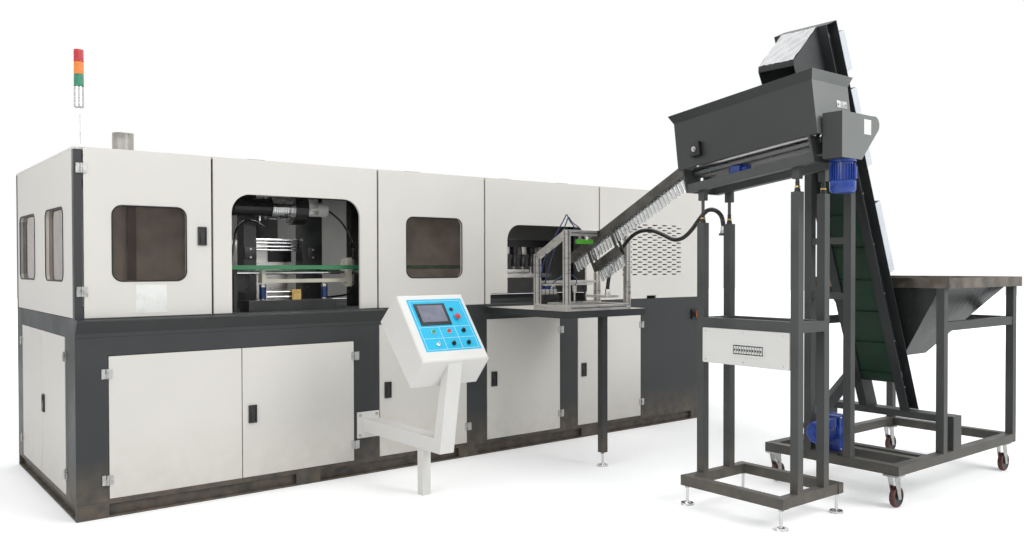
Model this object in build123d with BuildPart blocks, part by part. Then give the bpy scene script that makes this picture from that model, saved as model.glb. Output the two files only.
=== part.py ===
"""Linear stretch blow moulding line: guarded machine, console, side loader, preform sorter, elevator.

Lengths are millimetres. X runs along the machine front to the right, Y into the machine, Z up.
The origin is on the floor, under the middle of the whole line.
"""

import os
from math import cos, pi, radians, sin, tan

from build123d import *

os.makedirs("parts", exist_ok=True)

# Machine body
body_length = 5400.0
body_width = 1850.0
body_height = 2100.0
plinth_height = 90.0
base_top = 1137.0
frame_wall = 40.0
skin = 20.0
panel_gap = 14.0
corner_post = 43.0

# The line around it, measured from the machine's front plane and left end
guard_reach = 2819.0
left = -body_length / 2
right = left + body_length
front = (guard_reach - body_width) / 2
back = front + body_width

# Running clearances
door_gap = 3.0
seat_gap = 0.3
turn_gap = 0.05


def along(distance):
    """X of a point that lies this far from the machine's left end."""
    return left + distance


def inward(distance):
    """Y of a point this far behind the machine's front plane, or in front of it if negative."""
    return front + distance


def block(x0, x1, y0, y1, z0, z1, mode=Mode.ADD):
    """A block between two corners."""
    with Locations(((x0 + x1) / 2, (y0 + y1) / 2, (z0 + z1) / 2)):
        Box(x1 - x0, y1 - y0, z1 - z0, mode=mode)


def rod(start, end, radius, sides=0, mode=Mode.ADD):
    """A round bar from one point to another, or one with flats where it is small."""
    run = Vector(*end) - Vector(*start)
    with BuildSketch(Plane(origin=start, z_dir=run)) as section:
        if sides:
            RegularPolygon(radius, sides)
        else:
            Circle(radius)
    extrude(section.sketch, amount=run.length, mode=mode)


def bar(start, end, width, depth, side=(1, 0, 0)):
    """A square tube or flat from one point to another, its width along side."""
    run = Vector(*end) - Vector(*start)
    with BuildSketch(Plane(origin=start, x_dir=side, z_dir=run)) as section:
        Rectangle(width, depth)
    extrude(section.sketch, amount=run.length)


def tube(*corners):
    """One tube or plate as a solid of its own that abuts its neighbours."""
    with BuildPart() as made:
        block(*corners)
    return made


def round_tube(start, end, radius, sides=0):
    """One round bar as a solid of its own."""
    with BuildPart() as made:
        rod(start, end, radius, sides=sides)
    return made


def save(node, *solids):
    """Label one node and write it, with any further solids that share it."""
    pieces = [piece for solid in solids for piece in solid.part.solids()]
    whole = Compound(children=pieces) if len(pieces) > 1 else pieces[0]
    whole.label = node
    export_step(whole, f"parts/{node}.step")


# Plinth: a channel ring with stiffeners over the anchor holes and cross members
channel_width = 90.0
channel_groove = 30.0
channel_flange = 12.0
anchor_radius = 9.0
anchor_inset = 45.0
anchor_end = 86.0
stiffener_width = 170.0
stiffeners = (anchor_end, 1392.0, 2678.0, 3922.0, body_length - anchor_end)
middle_y = inward(body_width / 2)

with BuildPart() as plinth_frame:
    with BuildSketch():
        with Locations((0, middle_y)):
            Rectangle(body_length, body_width)
            Rectangle(body_length - 2 * channel_width, body_width - 2 * channel_width, mode=Mode.SUBTRACT)
    extrude(amount=plinth_height)
    with BuildSketch(Plane.XY.offset(channel_flange)):
        with Locations((0, middle_y)):
            Rectangle(body_length, body_width)
            Rectangle(
                body_length - 2 * channel_groove, body_width - 2 * channel_groove, mode=Mode.SUBTRACT
            )
    extrude(amount=plinth_height - 2 * channel_flange, mode=Mode.SUBTRACT)
    for place in stiffeners:
        x0 = max(along(place) - stiffener_width / 2, left)
        x1 = min(along(place) + stiffener_width / 2, right)
        for y0 in (front, back - channel_groove):
            block(x0, x1, y0, y0 + channel_groove, channel_flange, plinth_height - channel_flange)
        block(
            along(place) - 30, along(place) + 30, front + channel_width, back - channel_width,
            channel_flange, plinth_height,
        )
    anchor_span_x = body_length - 2 * anchor_end
    anchor_span_y = body_width - 2 * anchor_inset
    with BuildSketch():
        with Locations((0, middle_y)):
            with GridLocations(anchor_span_x, anchor_span_y, 2, 2):
                Circle(anchor_radius)
    extrude(amount=plinth_height, mode=Mode.SUBTRACT)
save("plinth_frame", plinth_frame)

# Base cabinet: a tube frame with skins, four open bays with openings for the doors, a solid fifth
door_bottom = 104.0
low_door_top = 922.0
door_top = 1026.0
bay_walls = (0.0, 1825.0, 2760.0, 3695.0, 4675.0, body_length)
bay_wall = 30.0
bay_floor = plinth_height + 30.0
bed_plate = 40.0
front_openings = (
    (171.0, 1727.0, low_door_top),
    (1922.0, 2667.0, door_top),
    (2854.0, 3597.0, door_top),
    (3792.0, 4547.0, door_top),
)
end_opening = (252.0, 1635.0)

with BuildPart() as base_cabinet:
    with BuildSketch(Plane.XY.offset(plinth_height)):
        with Locations((0, middle_y)):
            Rectangle(body_length, body_width)
    extrude(amount=base_top - plinth_height)
    for wall_left, wall_right in zip(bay_walls, bay_walls[1:-1]):
        x0 = along(wall_left) + (frame_wall if wall_left == 0 else bay_wall / 2)
        x1 = along(wall_right) - bay_wall / 2
        block(
            x0, x1, front + frame_wall, back - frame_wall, bay_floor, base_top - bed_plate,
            mode=Mode.SUBTRACT,
        )
    for x0, x1, top in front_openings:
        block(
            along(x0), along(x1), front, front + frame_wall, door_bottom, top, mode=Mode.SUBTRACT
        )
    block(
        left, left + frame_wall, inward(end_opening[0]), inward(end_opening[1]), door_bottom, door_top,
        mode=Mode.SUBTRACT,
    )
save("base_cabinet", base_cabinet)

# Drip ledge: a folded sheet along the left part of the front, under the upper guards
ledge_length = 1950.0
ledge_reach = 50.0
ledge_top = 1135.0
ledge_foot = 1030.0
ledge_sheet = 4.0
ledge_fold = 1052.0
with BuildPart() as drip_ledge:
    with BuildSketch(Plane.YZ.offset(left)):
        with BuildLine():
            Polyline(
                (front, ledge_top),
                (inward(-ledge_reach), ledge_top - 6),
                (inward(-ledge_reach), ledge_top - 14),
                (inward(-ledge_sheet), ledge_fold),
                (inward(-ledge_sheet), ledge_foot),
                (front, ledge_foot),
                (front, ledge_top),
            )
        make_face()
    extrude(amount=ledge_length)
save("drip_ledge", drip_ledge)

# Doors: folded pans with a latch, on external hinges
door_proud = 3.0
door_thick = 20.0
door_skin = 3.0
door_return = 18.0
hinge_reach = 12.0
hinge_offset = 8.0
hinge_height = 56.0
hinge_leaf = 22.0
hinge_face = 8.0
knuckle_radius = 6.0
latch_width = 52.0
latch_height = 112.0
latch_stand = 14.0
latch_edge = 40.0


def wall_plane(face):
    """The plane of the front or of the left end, drawn so that its normal points outwards."""
    if face == "front":
        return Plane(origin=(left, front, 0), x_dir=(1, 0, 0), z_dir=(0, -1, 0))
    return Plane(origin=(left, back, 0), x_dir=(0, -1, 0), z_dir=(-1, 0, 0))


def hinge_half(face, axis_at, height, side, upper):
    """One leaf of a hinge with its half of the knuckle; side is +1 where the leaf lies after the axis."""
    wall = wall_plane(face)
    base = door_proud if upper else 0.0
    knuckle_length = hinge_height / 2 - seat_gap / 2
    knuckle_z = height + (hinge_height - knuckle_length) / 2 * (1 if upper else -1)
    tab = knuckle_radius + 1
    with BuildPart() as half:
        with BuildSketch(wall.offset(base)):
            with Locations((axis_at + side * (tab + hinge_leaf / 2), height)):
                Rectangle(hinge_leaf, hinge_height)
            with Locations((axis_at + side * (tab + 1) / 2, knuckle_z)):
                Rectangle(tab + 1, knuckle_length)
        extrude(amount=hinge_face - base)
        low = wall.from_local_coords(Vector(axis_at, knuckle_z - knuckle_length / 2, hinge_reach))
        with BuildSketch(Plane(origin=low)):
            RegularPolygon(knuckle_radius, 8, rotation=22.5)
        extrude(amount=knuckle_length)
    return half


def latch(face, centre, height, base):
    """A recessed paddle latch that stands a little proud of its door."""
    with BuildPart() as handle:
        with BuildSketch(wall_plane(face).offset(base)):
            with Locations((centre, height)):
                Rectangle(latch_width, latch_height)
        extrude(amount=latch_stand - base)
        with BuildSketch(wall_plane(face).offset(latch_stand)):
            with Locations((centre, height)):
                Rectangle(latch_width - 16, latch_height - 16)
        extrude(amount=-(latch_stand - base) / 2, mode=Mode.SUBTRACT)
        with BuildSketch(wall_plane(face).offset((latch_stand + base) / 2)):
            with Locations((centre, height - latch_height / 8)):
                Rectangle(latch_width - 26, latch_height / 2)
        extrude(amount=(latch_stand - base) / 2 - 1)
    return handle


def door(face, start, end, low, top, hinge_side, latch_side, latch_z):
    """A door leaf between two distances along its wall, with its hinge leaves and any latch."""
    wall = wall_plane(face)
    with BuildPart() as leaf:
        with BuildSketch(wall.offset(door_proud)):
            with Locations(((start + end) / 2, (low + top) / 2)):
                Rectangle(end - start - 2 * door_gap, top - low - 2 * door_gap)
        extrude(amount=-door_thick)
        with BuildSketch(wall.offset(door_proud - door_thick)):
            with Locations(((start + end) / 2, (low + top) / 2)):
                Rectangle(
                    end - start - 2 * door_gap - 2 * door_return,
                    top - low - 2 * door_gap - 2 * door_return,
                )
        extrude(amount=door_thick - door_skin, mode=Mode.SUBTRACT)
    pieces = [leaf]
    axis_at = start - hinge_offset if hinge_side < 0 else end + hinge_offset
    hinge_levels = (low + (top - low) * 0.135, top - (top - low) * 0.125)
    for level in hinge_levels:
        pieces.append(hinge_half(face, axis_at, level, -hinge_side, True))
        fixed_hinges.append(hinge_half(face, axis_at, level, hinge_side, False))
    if latch_side:
        inset = latch_edge + latch_width / 2
        centre = start + inset if latch_side < 0 else end - inset
        pieces.append(latch(face, centre, latch_z, door_proud))
    return pieces


fixed_hinges = []
double_split = 948.0
low_latch = 502.0
high_latch = 565.0
base_doors = (
    (front_openings[0][0], double_split, low_door_top, -1, 0),
    (double_split, front_openings[0][1], low_door_top, 1, -1),
    (front_openings[1][0], front_openings[1][1], door_top, 1, -1),
    (front_openings[2][0], front_openings[2][1], door_top, 1, -1),
    (front_openings[3][0], front_openings[3][1], door_top, 1, -1),
)
for number, (start, end, top, hinge_side, latch_side) in enumerate(base_doors, start=1):
    latch_z = low_latch if top == low_door_top else high_latch
    save(
        f"base_door_{number}",
        *door("front", start, end, door_bottom, top, hinge_side, latch_side, latch_z),
    )

# The end wall is drawn from the back corner to the front one, so distances run backwards there
end_split = 943.0
end_start, end_middle, end_stop = (body_width - y for y in (end_opening[1], end_split, end_opening[0]))
save("end_door_rear", *door("end", end_start, end_middle, door_bottom, door_top, -1, 0, high_latch))
save("end_door_front", *door("end", end_middle, end_stop, door_bottom, door_top, 1, -1, high_latch))

# Upper guard door over the first station, with its window
panel_seams = (769.0, 1917.0, 2838.0, 4044.0)
upper_start = corner_post + panel_gap / 2 - door_gap
upper_end = panel_seams[0] - panel_gap / 2 + door_gap
upper_low = base_top + 3.0
window_low = 1346.0
window_top = 1779.0
window_radius = 55.0
pane_thick = 6.0
pane_lap = 25.0
first_window = (198.0, 612.0)
upper_latch = (706.0, 1613.0)
upper_hinges = (1290.0, 1980.0)

with BuildPart() as upper_door:
    with BuildSketch(wall_plane("front").offset(door_proud)):
        with Locations(((upper_start + upper_end) / 2, (upper_low + body_height) / 2)):
            Rectangle(upper_end - upper_start - 2 * door_gap, body_height - upper_low)
        with Locations((sum(first_window) / 2, (window_low + window_top) / 2)):
            RectangleRounded(
                first_window[1] - first_window[0], window_top - window_low, window_radius,
                mode=Mode.SUBTRACT,
            )
    extrude(amount=-door_thick)
upper_pieces = [upper_door]
upper_axis = upper_start - hinge_offset
for level in upper_hinges:
    upper_pieces.append(hinge_half("front", upper_axis, level, 1, True))
    fixed_hinges.append(hinge_half("front", upper_axis, level, -1, False))
upper_pieces.append(latch("front", upper_latch[0], upper_latch[1], door_proud))
save("upper_door", *upper_pieces)


def pane(face, window, behind):
    """A flat window pane behind its panel."""
    with BuildPart() as sheet:
        with BuildSketch(wall_plane(face).offset(-behind)):
            with Locations((sum(window) / 2, (window_low + window_top) / 2)):
                Rectangle(
                    window[1] - window[0] + 2 * pane_lap, window_top - window_low + 2 * pane_lap
                )
        extrude(amount=-pane_thick)
    return sheet


save("upper_door_pane", pane("front", first_window, door_thick - door_proud))

# Fixed front guards: cut-outs at the blow station and the infeed, a window, and a slotted vent
cutout_radius = 120.0
blow_cutout = (890.0, 1778.0, 1880.0)
oven_window = (2147.0, 2626.0)
infeed_cutout = (3056.0, 3896.0, 1750.0)
infeed_notch = (2891.0, 1220.0)
vent_field = (4317.0, 5086.0, 1346.0, 1795.0)
vent_rows = 12
vent_slots = 6
slot_length = 62.0
slot_height = 12.0
finger_notch = (4688.0, 124.0, 25.0)


def guard_centre(number):
    """Middle and width of one fixed front guard between its seams."""
    edges = panel_seams + (body_length,)
    start = edges[number] + panel_gap / 2
    end = edges[number + 1] - (panel_gap / 2 if number < 3 else 0)
    return (start + end) / 2, end - start


guard_middle_z = (upper_low + body_height) / 2
guard_tall = body_height - upper_low

with BuildPart() as blow_station_panel:
    centre, width = guard_centre(0)
    with BuildSketch(wall_plane("front")):
        with Locations((centre, guard_middle_z)):
            Rectangle(width, guard_tall)
        with BuildLine():
            FilletPolyline(
                (blow_cutout[0], upper_low - 1),
                (blow_cutout[0], blow_cutout[2]),
                (blow_cutout[1], blow_cutout[2]),
                (blow_cutout[1], upper_low - 1),
                radius=cutout_radius,
            )
            Line((blow_cutout[1], upper_low - 1), (blow_cutout[0], upper_low - 1))
        make_face(mode=Mode.SUBTRACT)
    extrude(amount=-skin)
save("blow_station_panel", blow_station_panel)

with BuildPart() as window_panel:
    centre, width = guard_centre(1)
    with BuildSketch(wall_plane("front")):
        with Locations((centre, guard_middle_z)):
            Rectangle(width, guard_tall)
        with Locations((sum(oven_window) / 2, (window_low + window_top) / 2)):
            RectangleRounded(
                oven_window[1] - oven_window[0], window_top - window_low, window_radius,
                mode=Mode.SUBTRACT,
            )
    extrude(amount=-skin)
save("window_panel", window_panel)

with BuildPart() as infeed_panel:
    centre, width = guard_centre(2)
    with BuildSketch(wall_plane("front")):
        with Locations((centre, guard_middle_z)):
            Rectangle(width, guard_tall)
        with BuildLine():
            FilletPolyline(
                (infeed_cutout[0], infeed_notch[1]),
                (infeed_cutout[0], infeed_cutout[2]),
                (infeed_cutout[1], infeed_cutout[2]),
                (infeed_cutout[1], upper_low - 1),
                radius=cutout_radius,
            )
            Polyline(
                (infeed_cutout[1], upper_low - 1),
                (infeed_notch[0], upper_low - 1),
                (infeed_notch[0], infeed_notch[1]),
                (infeed_cutout[0], infeed_notch[1]),
            )
        make_face(mode=Mode.SUBTRACT)
    extrude(amount=-skin)
save("infeed_panel", infeed_panel)

with BuildPart() as vent_panel:
    centre, width = guard_centre(3)
    slot_pitch = (vent_field[1] - vent_field[0] - slot_length) / (vent_slots - 0.5)
    row_pitch = (vent_field[3] - vent_field[2] - slot_height) / (vent_rows - 1)
    with BuildSketch(wall_plane("front")):
        with Locations((centre, guard_middle_z)):
            Rectangle(width, guard_tall)
        with Locations((finger_notch[0], upper_low)):
            Rectangle(finger_notch[1], 2 * finger_notch[2], mode=Mode.SUBTRACT)
        for row in range(vent_rows):
            shift = slot_pitch / 2 * (row % 2)
            first = vent_field[0] + slot_length / 2 + shift
            spots = [(first + slot_pitch * k, vent_field[2] + slot_height / 2 + row_pitch * row)
                     for k in range(vent_slots)]
            with Locations(*spots):
                Rectangle(slot_length, slot_height, mode=Mode.SUBTRACT)
    extrude(amount=-skin)
save("vent_panel", vent_panel)

# Covers of the left end, right end, rear and roof
end_windows = ((280.0, 797.0), (1152.0, 1708.0))
roof_sheet = 15.0
exhaust_at = (488.0, 900.0)
exhaust_radius = 68.0
cover_low = upper_low
cover_top = body_height - roof_sheet

with BuildPart() as end_cover:
    with BuildSketch(wall_plane("end")):
        with Locations((body_width / 2, (cover_low + cover_top) / 2)):
            Rectangle(body_width - 2 * corner_post - panel_gap, cover_top - cover_low)
        for window in end_windows:
            with Locations((body_width - sum(window) / 2, (window_low + window_top) / 2)):
                RectangleRounded(
                    window[1] - window[0], window_top - window_low, window_radius, mode=Mode.SUBTRACT
                )
    extrude(amount=-skin)
with BuildPart() as right_cover:
    with BuildSketch(Plane.XY.offset(cover_low)):
        with Locations((right - skin / 2, middle_y)):
            Rectangle(skin, body_width - 2 * skin - 2 * seat_gap)
    extrude(amount=cover_top - cover_low)
with BuildPart() as rear_cover:
    with BuildSketch(Plane.XZ.offset(-back)):
        with Locations(((along(corner_post) + right) / 2, (cover_low + cover_top) / 2)):
            Rectangle(body_length - corner_post, cover_top - cover_low)
        with Locations(*[(along(seam), (cover_low + cover_top) / 2) for seam in panel_seams]):
            Rectangle(panel_gap / 2, cover_top - cover_low, mode=Mode.SUBTRACT)
    extrude(amount=skin)
with BuildPart() as roof_cover:
    with BuildSketch(Plane.XY.offset(cover_top)):
        with Locations((0, middle_y + skin / 2)):
            Rectangle(body_length, body_width - skin)
        with Locations((along(exhaust_at[0]), inward(exhaust_at[1]))):
            Circle(exhaust_radius + seat_gap, mode=Mode.SUBTRACT)
    extrude(amount=roof_sheet)
save("outer_covers", end_cover, right_cover, rear_cover, roof_cover)

save(
    "window_panes",
    pane("front", oven_window, skin),
    *[pane("end", (body_width - window[1], body_width - window[0]), skin) for window in end_windows],
)

# Upper frame: posts behind the seams, rails under the roof
tube_size = 60.0
rail_low = cover_top - tube_size
inner_edge = skin + corner_post
upper_frame = [
    tube(left, left + corner_post, y0, y0 + corner_post, base_top, cover_top)
    for y0 in (front, back - corner_post)
]
for y0 in (front + skin, back - inner_edge):
    upper_frame.append(
        tube(right - inner_edge, right - skin, y0, y0 + corner_post, base_top, cover_top)
    )
    upper_frame.append(
        tube(left + corner_post, right - inner_edge, y0, y0 + corner_post, rail_low, cover_top)
    )
for x0 in (left + skin, right - inner_edge):
    upper_frame.append(
        tube(x0, x0 + corner_post, front + inner_edge, back - inner_edge, rail_low, cover_top)
    )
for seam in panel_seams:
    x0, x1 = along(seam) - tube_size / 2, along(seam) + tube_size / 2
    for y0 in (front + skin, back - skin - tube_size):
        upper_frame.append(tube(x0, x1, y0, y0 + tube_size, base_top, rail_low))
    upper_frame.append(tube(x0, x1, front + inner_edge, back - inner_edge, rail_low, cover_top))
save("upper_frame", *upper_frame)

# Exhaust stub through the roof
exhaust_top = body_height + 222
exhaust_wall = 3.0
with BuildPart() as exhaust_stub:
    with BuildSketch(Plane.XY.offset(cover_top - 60)):
        with Locations((along(exhaust_at[0]), inward(exhaust_at[1]))):
            Circle(exhaust_radius)
            Circle(exhaust_radius - exhaust_wall, mode=Mode.SUBTRACT)
    extrude(amount=exhaust_top - cover_top + 60)
save("exhaust_stub", exhaust_stub)

# Tower light on the left front corner
tower_at = (45.0, 60.0)
pole_radius = 9.0
lens_radius = 28.0
lens_height = 69.0
lens_start = body_height + 342
lamp_foot = body_height + 223
tower_x = along(tower_at[0])
tower_y = inward(tower_at[1])


def tower_ring(low, high, radius):
    """One round section of the tower light."""
    with BuildPart() as section:
        rod((tower_x, tower_y, low), (tower_x, tower_y, high), radius, sides=20)
    return section


with BuildPart() as tower_stem:
    rod((tower_x, tower_y, body_height), (tower_x, tower_y, lamp_foot), pole_radius, sides=12)
    rod((tower_x, tower_y, lamp_foot), (tower_x, tower_y, lens_start), lens_radius, sides=20)
lens_levels = [lens_start + lens_height * k for k in range(4)]
lenses = [tower_ring(low, high, lens_radius) for low, high in zip(lens_levels, lens_levels[1:])]
save("tower_light", tower_stem, *lenses)

# Main isolator on the right of the front
isolator_at = (5266.0, 978.0)
isolator_plate = 88.0
isolator_body_depth = 22.0
isolator_knob_radius = 30.0
with BuildPart() as isolator_body:
    with BuildSketch(wall_plane("front")):
        with Locations(isolator_at):
            Rectangle(isolator_plate, isolator_plate)
    extrude(amount=isolator_body_depth)
with BuildPart() as isolator_handle:
    with BuildSketch(wall_plane("front").offset(isolator_body_depth + turn_gap)):
        with Locations(isolator_at):
            RegularPolygon(isolator_knob_radius, 20)
    extrude(amount=12)
    with BuildSketch(wall_plane("front").offset(isolator_body_depth + turn_gap + 12)):
        with Locations(isolator_at):
            Rectangle(isolator_knob_radius * 1.9, 16)
    extrude(amount=18)
save("isolator_handle", isolator_handle)

# Fixed hinge leaves, the isolator body and two pads on the ledge share a node
ledge_pads = []
for spot in (770.0, 1778.0):
    with BuildPart() as pad:
        block(
            along(spot) - 30, along(spot) + 30, inward(-ledge_reach) - 14, inward(-ledge_reach),
            ledge_top - 13, ledge_top - 7,
        )
    ledge_pads.append(pad)
save("cabinet_hardware", *fixed_hinges, isolator_body, *ledge_pads)

# Console: a sloped box on a leaning post, with an arm from the machine and a leg to the floor
console_centre = 1845.0
console_width = 475.0
face_top = (-766.0, 1255.0)
face_length = 484.0
face_lean = 37.9
console_depth_top = 256.0
console_depth_low = 210.0
console_rear_drop = (17.0, 42.0)
console_round = 14.0
fascia_margin = (50.0, 38.0)
fascia_size = (400.0, 378.0)
fascia_thick = 3.0

lean = radians(face_lean)
down_face = Vector(0, -sin(lean), -cos(lean))
out_face = Vector(0, -cos(lean), sin(lean))
console_left = along(console_centre) - console_width / 2
face_origin = Vector(console_left, inward(face_top[0]), face_top[1])
face_plane = Plane(
    origin=face_origin, x_dir=(1, 0, 0), z_dir=out_face
)


def on_face(across, down, lift=0.0):
    """A point of the console's face, from its top left corner."""
    return face_origin + Vector(across, 0, 0) + down_face * down + out_face * lift


with BuildPart() as console_box:
    top_front = on_face(0, 0)
    low_front = on_face(0, face_length)
    top_back = on_face(0, console_rear_drop[0], -console_depth_top)
    low_back = on_face(0, face_length + console_rear_drop[1], -console_depth_low)
    with BuildSketch(Plane.YZ.offset(console_left)):
        with BuildLine():
            Polyline(
                *[(p.Y, p.Z) for p in (top_front, top_back, low_back, low_front, top_front)]
            )
        make_face()
    extrude(amount=console_width)
    front_edges = console_box.faces().sort_by(Axis((0, 0, 0), out_face))[-1].edges()
    fillet(front_edges, radius=console_round)
    with BuildSketch(face_plane):
        with Locations((fascia_margin[0] + fascia_size[0] / 2, -fascia_margin[1] - fascia_size[1] / 2)):
            RectangleRounded(fascia_size[0], fascia_size[1], 6)
    extrude(amount=-fascia_thick, mode=Mode.SUBTRACT)
save("console_box", console_box)

button_columns = (150.0, 261.0, 370.0)
button_rows = (280.0, 369.0)
stop_spot = (362.0, 180.0)
screen_spot = (197.0, 152.0)
screen_size = (220.0, 158.0)
button_radius = 13.0
stop_radius = 11.0
stop_cap = 20.0
bezel_wall = 3.0
bezel_height = 7.0
button_lift = 3.5
button_height = 8.0
push_spots = (
    ((button_columns[0], button_rows[0]), button_radius),
    ((button_columns[1], button_rows[0]), button_radius),
    (stop_spot, stop_radius),
)

with BuildPart() as console_fascia:
    with BuildSketch(face_plane.offset(-fascia_thick)):
        with Locations((fascia_margin[0] + fascia_size[0] / 2, -fascia_margin[1] - fascia_size[1] / 2)):
            RectangleRounded(fascia_size[0], fascia_size[1], 6)
    extrude(amount=fascia_thick)
    with BuildSketch(face_plane):
        for spot, radius in push_spots:
            with Locations((spot[0], -spot[1])):
                RegularPolygon(radius + turn_gap + bezel_wall, 20)
                RegularPolygon(radius + turn_gap, 20, mode=Mode.SUBTRACT)
    extrude(amount=bezel_height)
save("console_fascia", console_fascia)

with BuildPart() as touch_screen:
    with BuildSketch(face_plane):
        with Locations((screen_spot[0], -screen_spot[1])):
            Rectangle(screen_size[0], screen_size[1])
    extrude(amount=5)
    with BuildSketch(face_plane.offset(5)):
        with Locations((screen_spot[0], -screen_spot[1] + 5)):
            Rectangle(screen_size[0] - 44, screen_size[1] - 40)
    extrude(amount=-2, mode=Mode.SUBTRACT)
save("touch_screen", touch_screen)


def push_button(spot, radius, cap_radius=0.0):
    """A plunger in its bezel; a mushroom button has a wider cap above."""
    with BuildPart() as button:
        with BuildSketch(face_plane.offset(button_lift)):
            with Locations((spot[0], -spot[1])):
                RegularPolygon(radius, 20)
        extrude(amount=button_height)
        if cap_radius:
            with BuildSketch(face_plane.offset(button_lift + button_height)):
                with Locations((spot[0], -spot[1])):
                    RegularPolygon(cap_radius, 20)
            extrude(amount=9)
    return button


def selector(spot, radius, grip):
    """A rotary selector: a round base with a bar grip."""
    with BuildPart() as knob:
        with BuildSketch(face_plane.offset(turn_gap)):
            with Locations((spot[0], -spot[1])):
                RegularPolygon(radius, 16)
        extrude(amount=8)
        with BuildSketch(face_plane.offset(turn_gap + 8)):
            with Locations((spot[0], -spot[1])):
                Rectangle(grip, radius * 1.7)
        extrude(amount=14)
    return knob


save("start_button", push_button(*push_spots[0]))
save("stop_button", push_button(*push_spots[1]))
save("e_stop_button", push_button(*push_spots[2], cap_radius=stop_cap))
save("key_switch", selector((button_columns[0], button_rows[1]), 14, 4))
selector_spots = (
    (button_columns[2], button_rows[0]),
    (button_columns[1], button_rows[1]),
    (button_columns[2], button_rows[1]),
)
for number, spot in enumerate(selector_spots, start=1):
    save(f"selector_switch_{number}", selector(spot, 14, 8))

# Arm, post and leg of the console
arm_width = 100.0
arm_height = 90.0
arm_bottom = 298.0
arm_reach = 950.0
post_depth = 85.0
post_head = 1046.0
leg_at = 695.0
leg_tube = 60.0
flange = (167.0, 177.0, 12.0)
flange_shift = -14.0
arm_x = along(console_centre)
under_slope = (low_back.Z - low_front.Z) / (low_back.Y - low_front.Y)


def under_console(y):
    """Height of the console's underside above a Y."""
    return low_front.Z + under_slope * (y - low_front.Y)


with BuildPart() as console_arm:
    flange_x = arm_x + flange_shift
    arm_middle = arm_bottom + arm_height / 2
    block(
        flange_x - flange[0] / 2, flange_x + flange[0] / 2, inward(-flange[2]), front,
        arm_middle - flange[1] / 2, arm_middle + flange[1] / 2,
    )
    block(
        arm_x - arm_width / 2, arm_x + arm_width / 2, inward(-arm_reach), inward(-flange[2]),
        arm_bottom, arm_bottom + arm_height,
    )
    with BuildSketch(Plane.YZ.offset(arm_x - arm_width / 2)):
        head_y = inward(-post_head)
        with BuildLine():
            Polyline(
                (inward(-arm_reach), arm_bottom + 1),
                (head_y, under_console(head_y)),
                (head_y + post_depth, under_console(head_y + post_depth)),
                (inward(-arm_reach + post_depth), arm_bottom + 1),
                (inward(-arm_reach), arm_bottom + 1),
            )
        make_face()
    extrude(amount=arm_width)
    block(
        arm_x - leg_tube / 2, arm_x + leg_tube / 2, inward(-leg_at) - leg_tube / 2,
        inward(-leg_at) + leg_tube / 2, 0, arm_bottom,
    )
save("console_arm", console_arm)

# Infeed table in front of the infeed opening, on one leg
table_x = (2860.0, 3635.0)
table_reach = 900.0
table_top = 1118.0
table_thick = 50.0
table_sheet = 4.0
table_leg = (3251.0, 849.0)
foot_radius = 38.0
foot_height = 14.0
stud_radius = 9.0
stud_length = 100.0


def levelling_foot(x, y, top):
    """A pad with its stud, up to the tube it carries."""
    with BuildSketch() as pad:
        with Locations((x, y)):
            RegularPolygon(foot_radius, 12)
    extrude(pad.sketch, amount=foot_height)
    with BuildSketch(Plane.XY.offset(foot_height)) as stud:
        with Locations((x, y)):
            RegularPolygon(stud_radius, 6)
    extrude(stud.sketch, amount=top - foot_height)


table_left, table_right = along(table_x[0]), along(table_x[1])
table_near = inward(-table_reach)
table_under = table_top - table_sheet
skirt = (table_top - table_thick, table_under)
leg_x, leg_y = along(table_leg[0]), inward(-table_leg[1])
infeed_table = [
    tube(table_left, table_right, table_near, front, table_under, table_top),
    tube(table_left, table_right, table_near, table_near + table_sheet, *skirt),
    tube(table_left, table_right, front - table_sheet, front, *skirt),
    tube(leg_x - 25, leg_x + 25, leg_y - 25, leg_y + 25, stud_length, table_under),
]
for x0 in (table_left, table_right - table_sheet):
    infeed_table.append(
        tube(x0, x0 + table_sheet, table_near + table_sheet, front - table_sheet, *skirt)
    )
with BuildPart() as table_foot:
    levelling_foot(leg_x, leg_y, stud_length)
save("infeed_table", *infeed_table, table_foot)

# Loader frame of aluminium profile on the table
profile = 40.0
loader_x = (2880.0, 3467.0)
loader_y = (-880.0, -570.0)
loader_tops = ((1675.0, 1511.0), (1646.0, 1378.0))
loader_base = 1158.0
chute_side_x = 3150.0
middle_bar = (1303.0, 1323.0)
valve_shelf = (3345.0, 795.0, 1215.0, 18.0)
half = profile / 2
with BuildPart() as loader_frame:
    for x, tops in zip(loader_x, loader_tops):
        for y, top in zip(loader_y, tops):
            block(
                along(x) - half, along(x) + half, inward(y) - half, inward(y) + half, table_top, top
            )
        block(
            along(x) - half, along(x) + half, inward(loader_y[0]), inward(loader_y[1]),
            table_top, loader_base,
        )
    for y in loader_y:
        block(
            along(loader_x[0]), along(loader_x[1]), inward(y) - half, inward(y) + half,
            table_top, loader_base,
        )
    block(
        along(loader_x[0]), along(chute_side_x), inward(loader_y[0]) - half,
        inward(loader_y[0]) + half, loader_tops[0][0] - profile, loader_tops[0][0],
    )
    block(
        along(loader_x[0]), along(loader_x[1]), inward(loader_y[1]) - 10, inward(loader_y[1]) + 10,
        *middle_bar,
    )
    bar(
        (along(loader_x[0]), inward(loader_y[0]), loader_tops[0][0] - half),
        (along(loader_x[0]), inward(loader_y[1]), loader_tops[0][1] - half),
        profile, profile,
    )
    block(
        along(valve_shelf[0]), along(loader_x[1]), inward(-valve_shelf[1]), inward(loader_y[1]),
        valve_shelf[2] - valve_shelf[3], valve_shelf[2],
    )
save("loader_frame", loader_frame)

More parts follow.
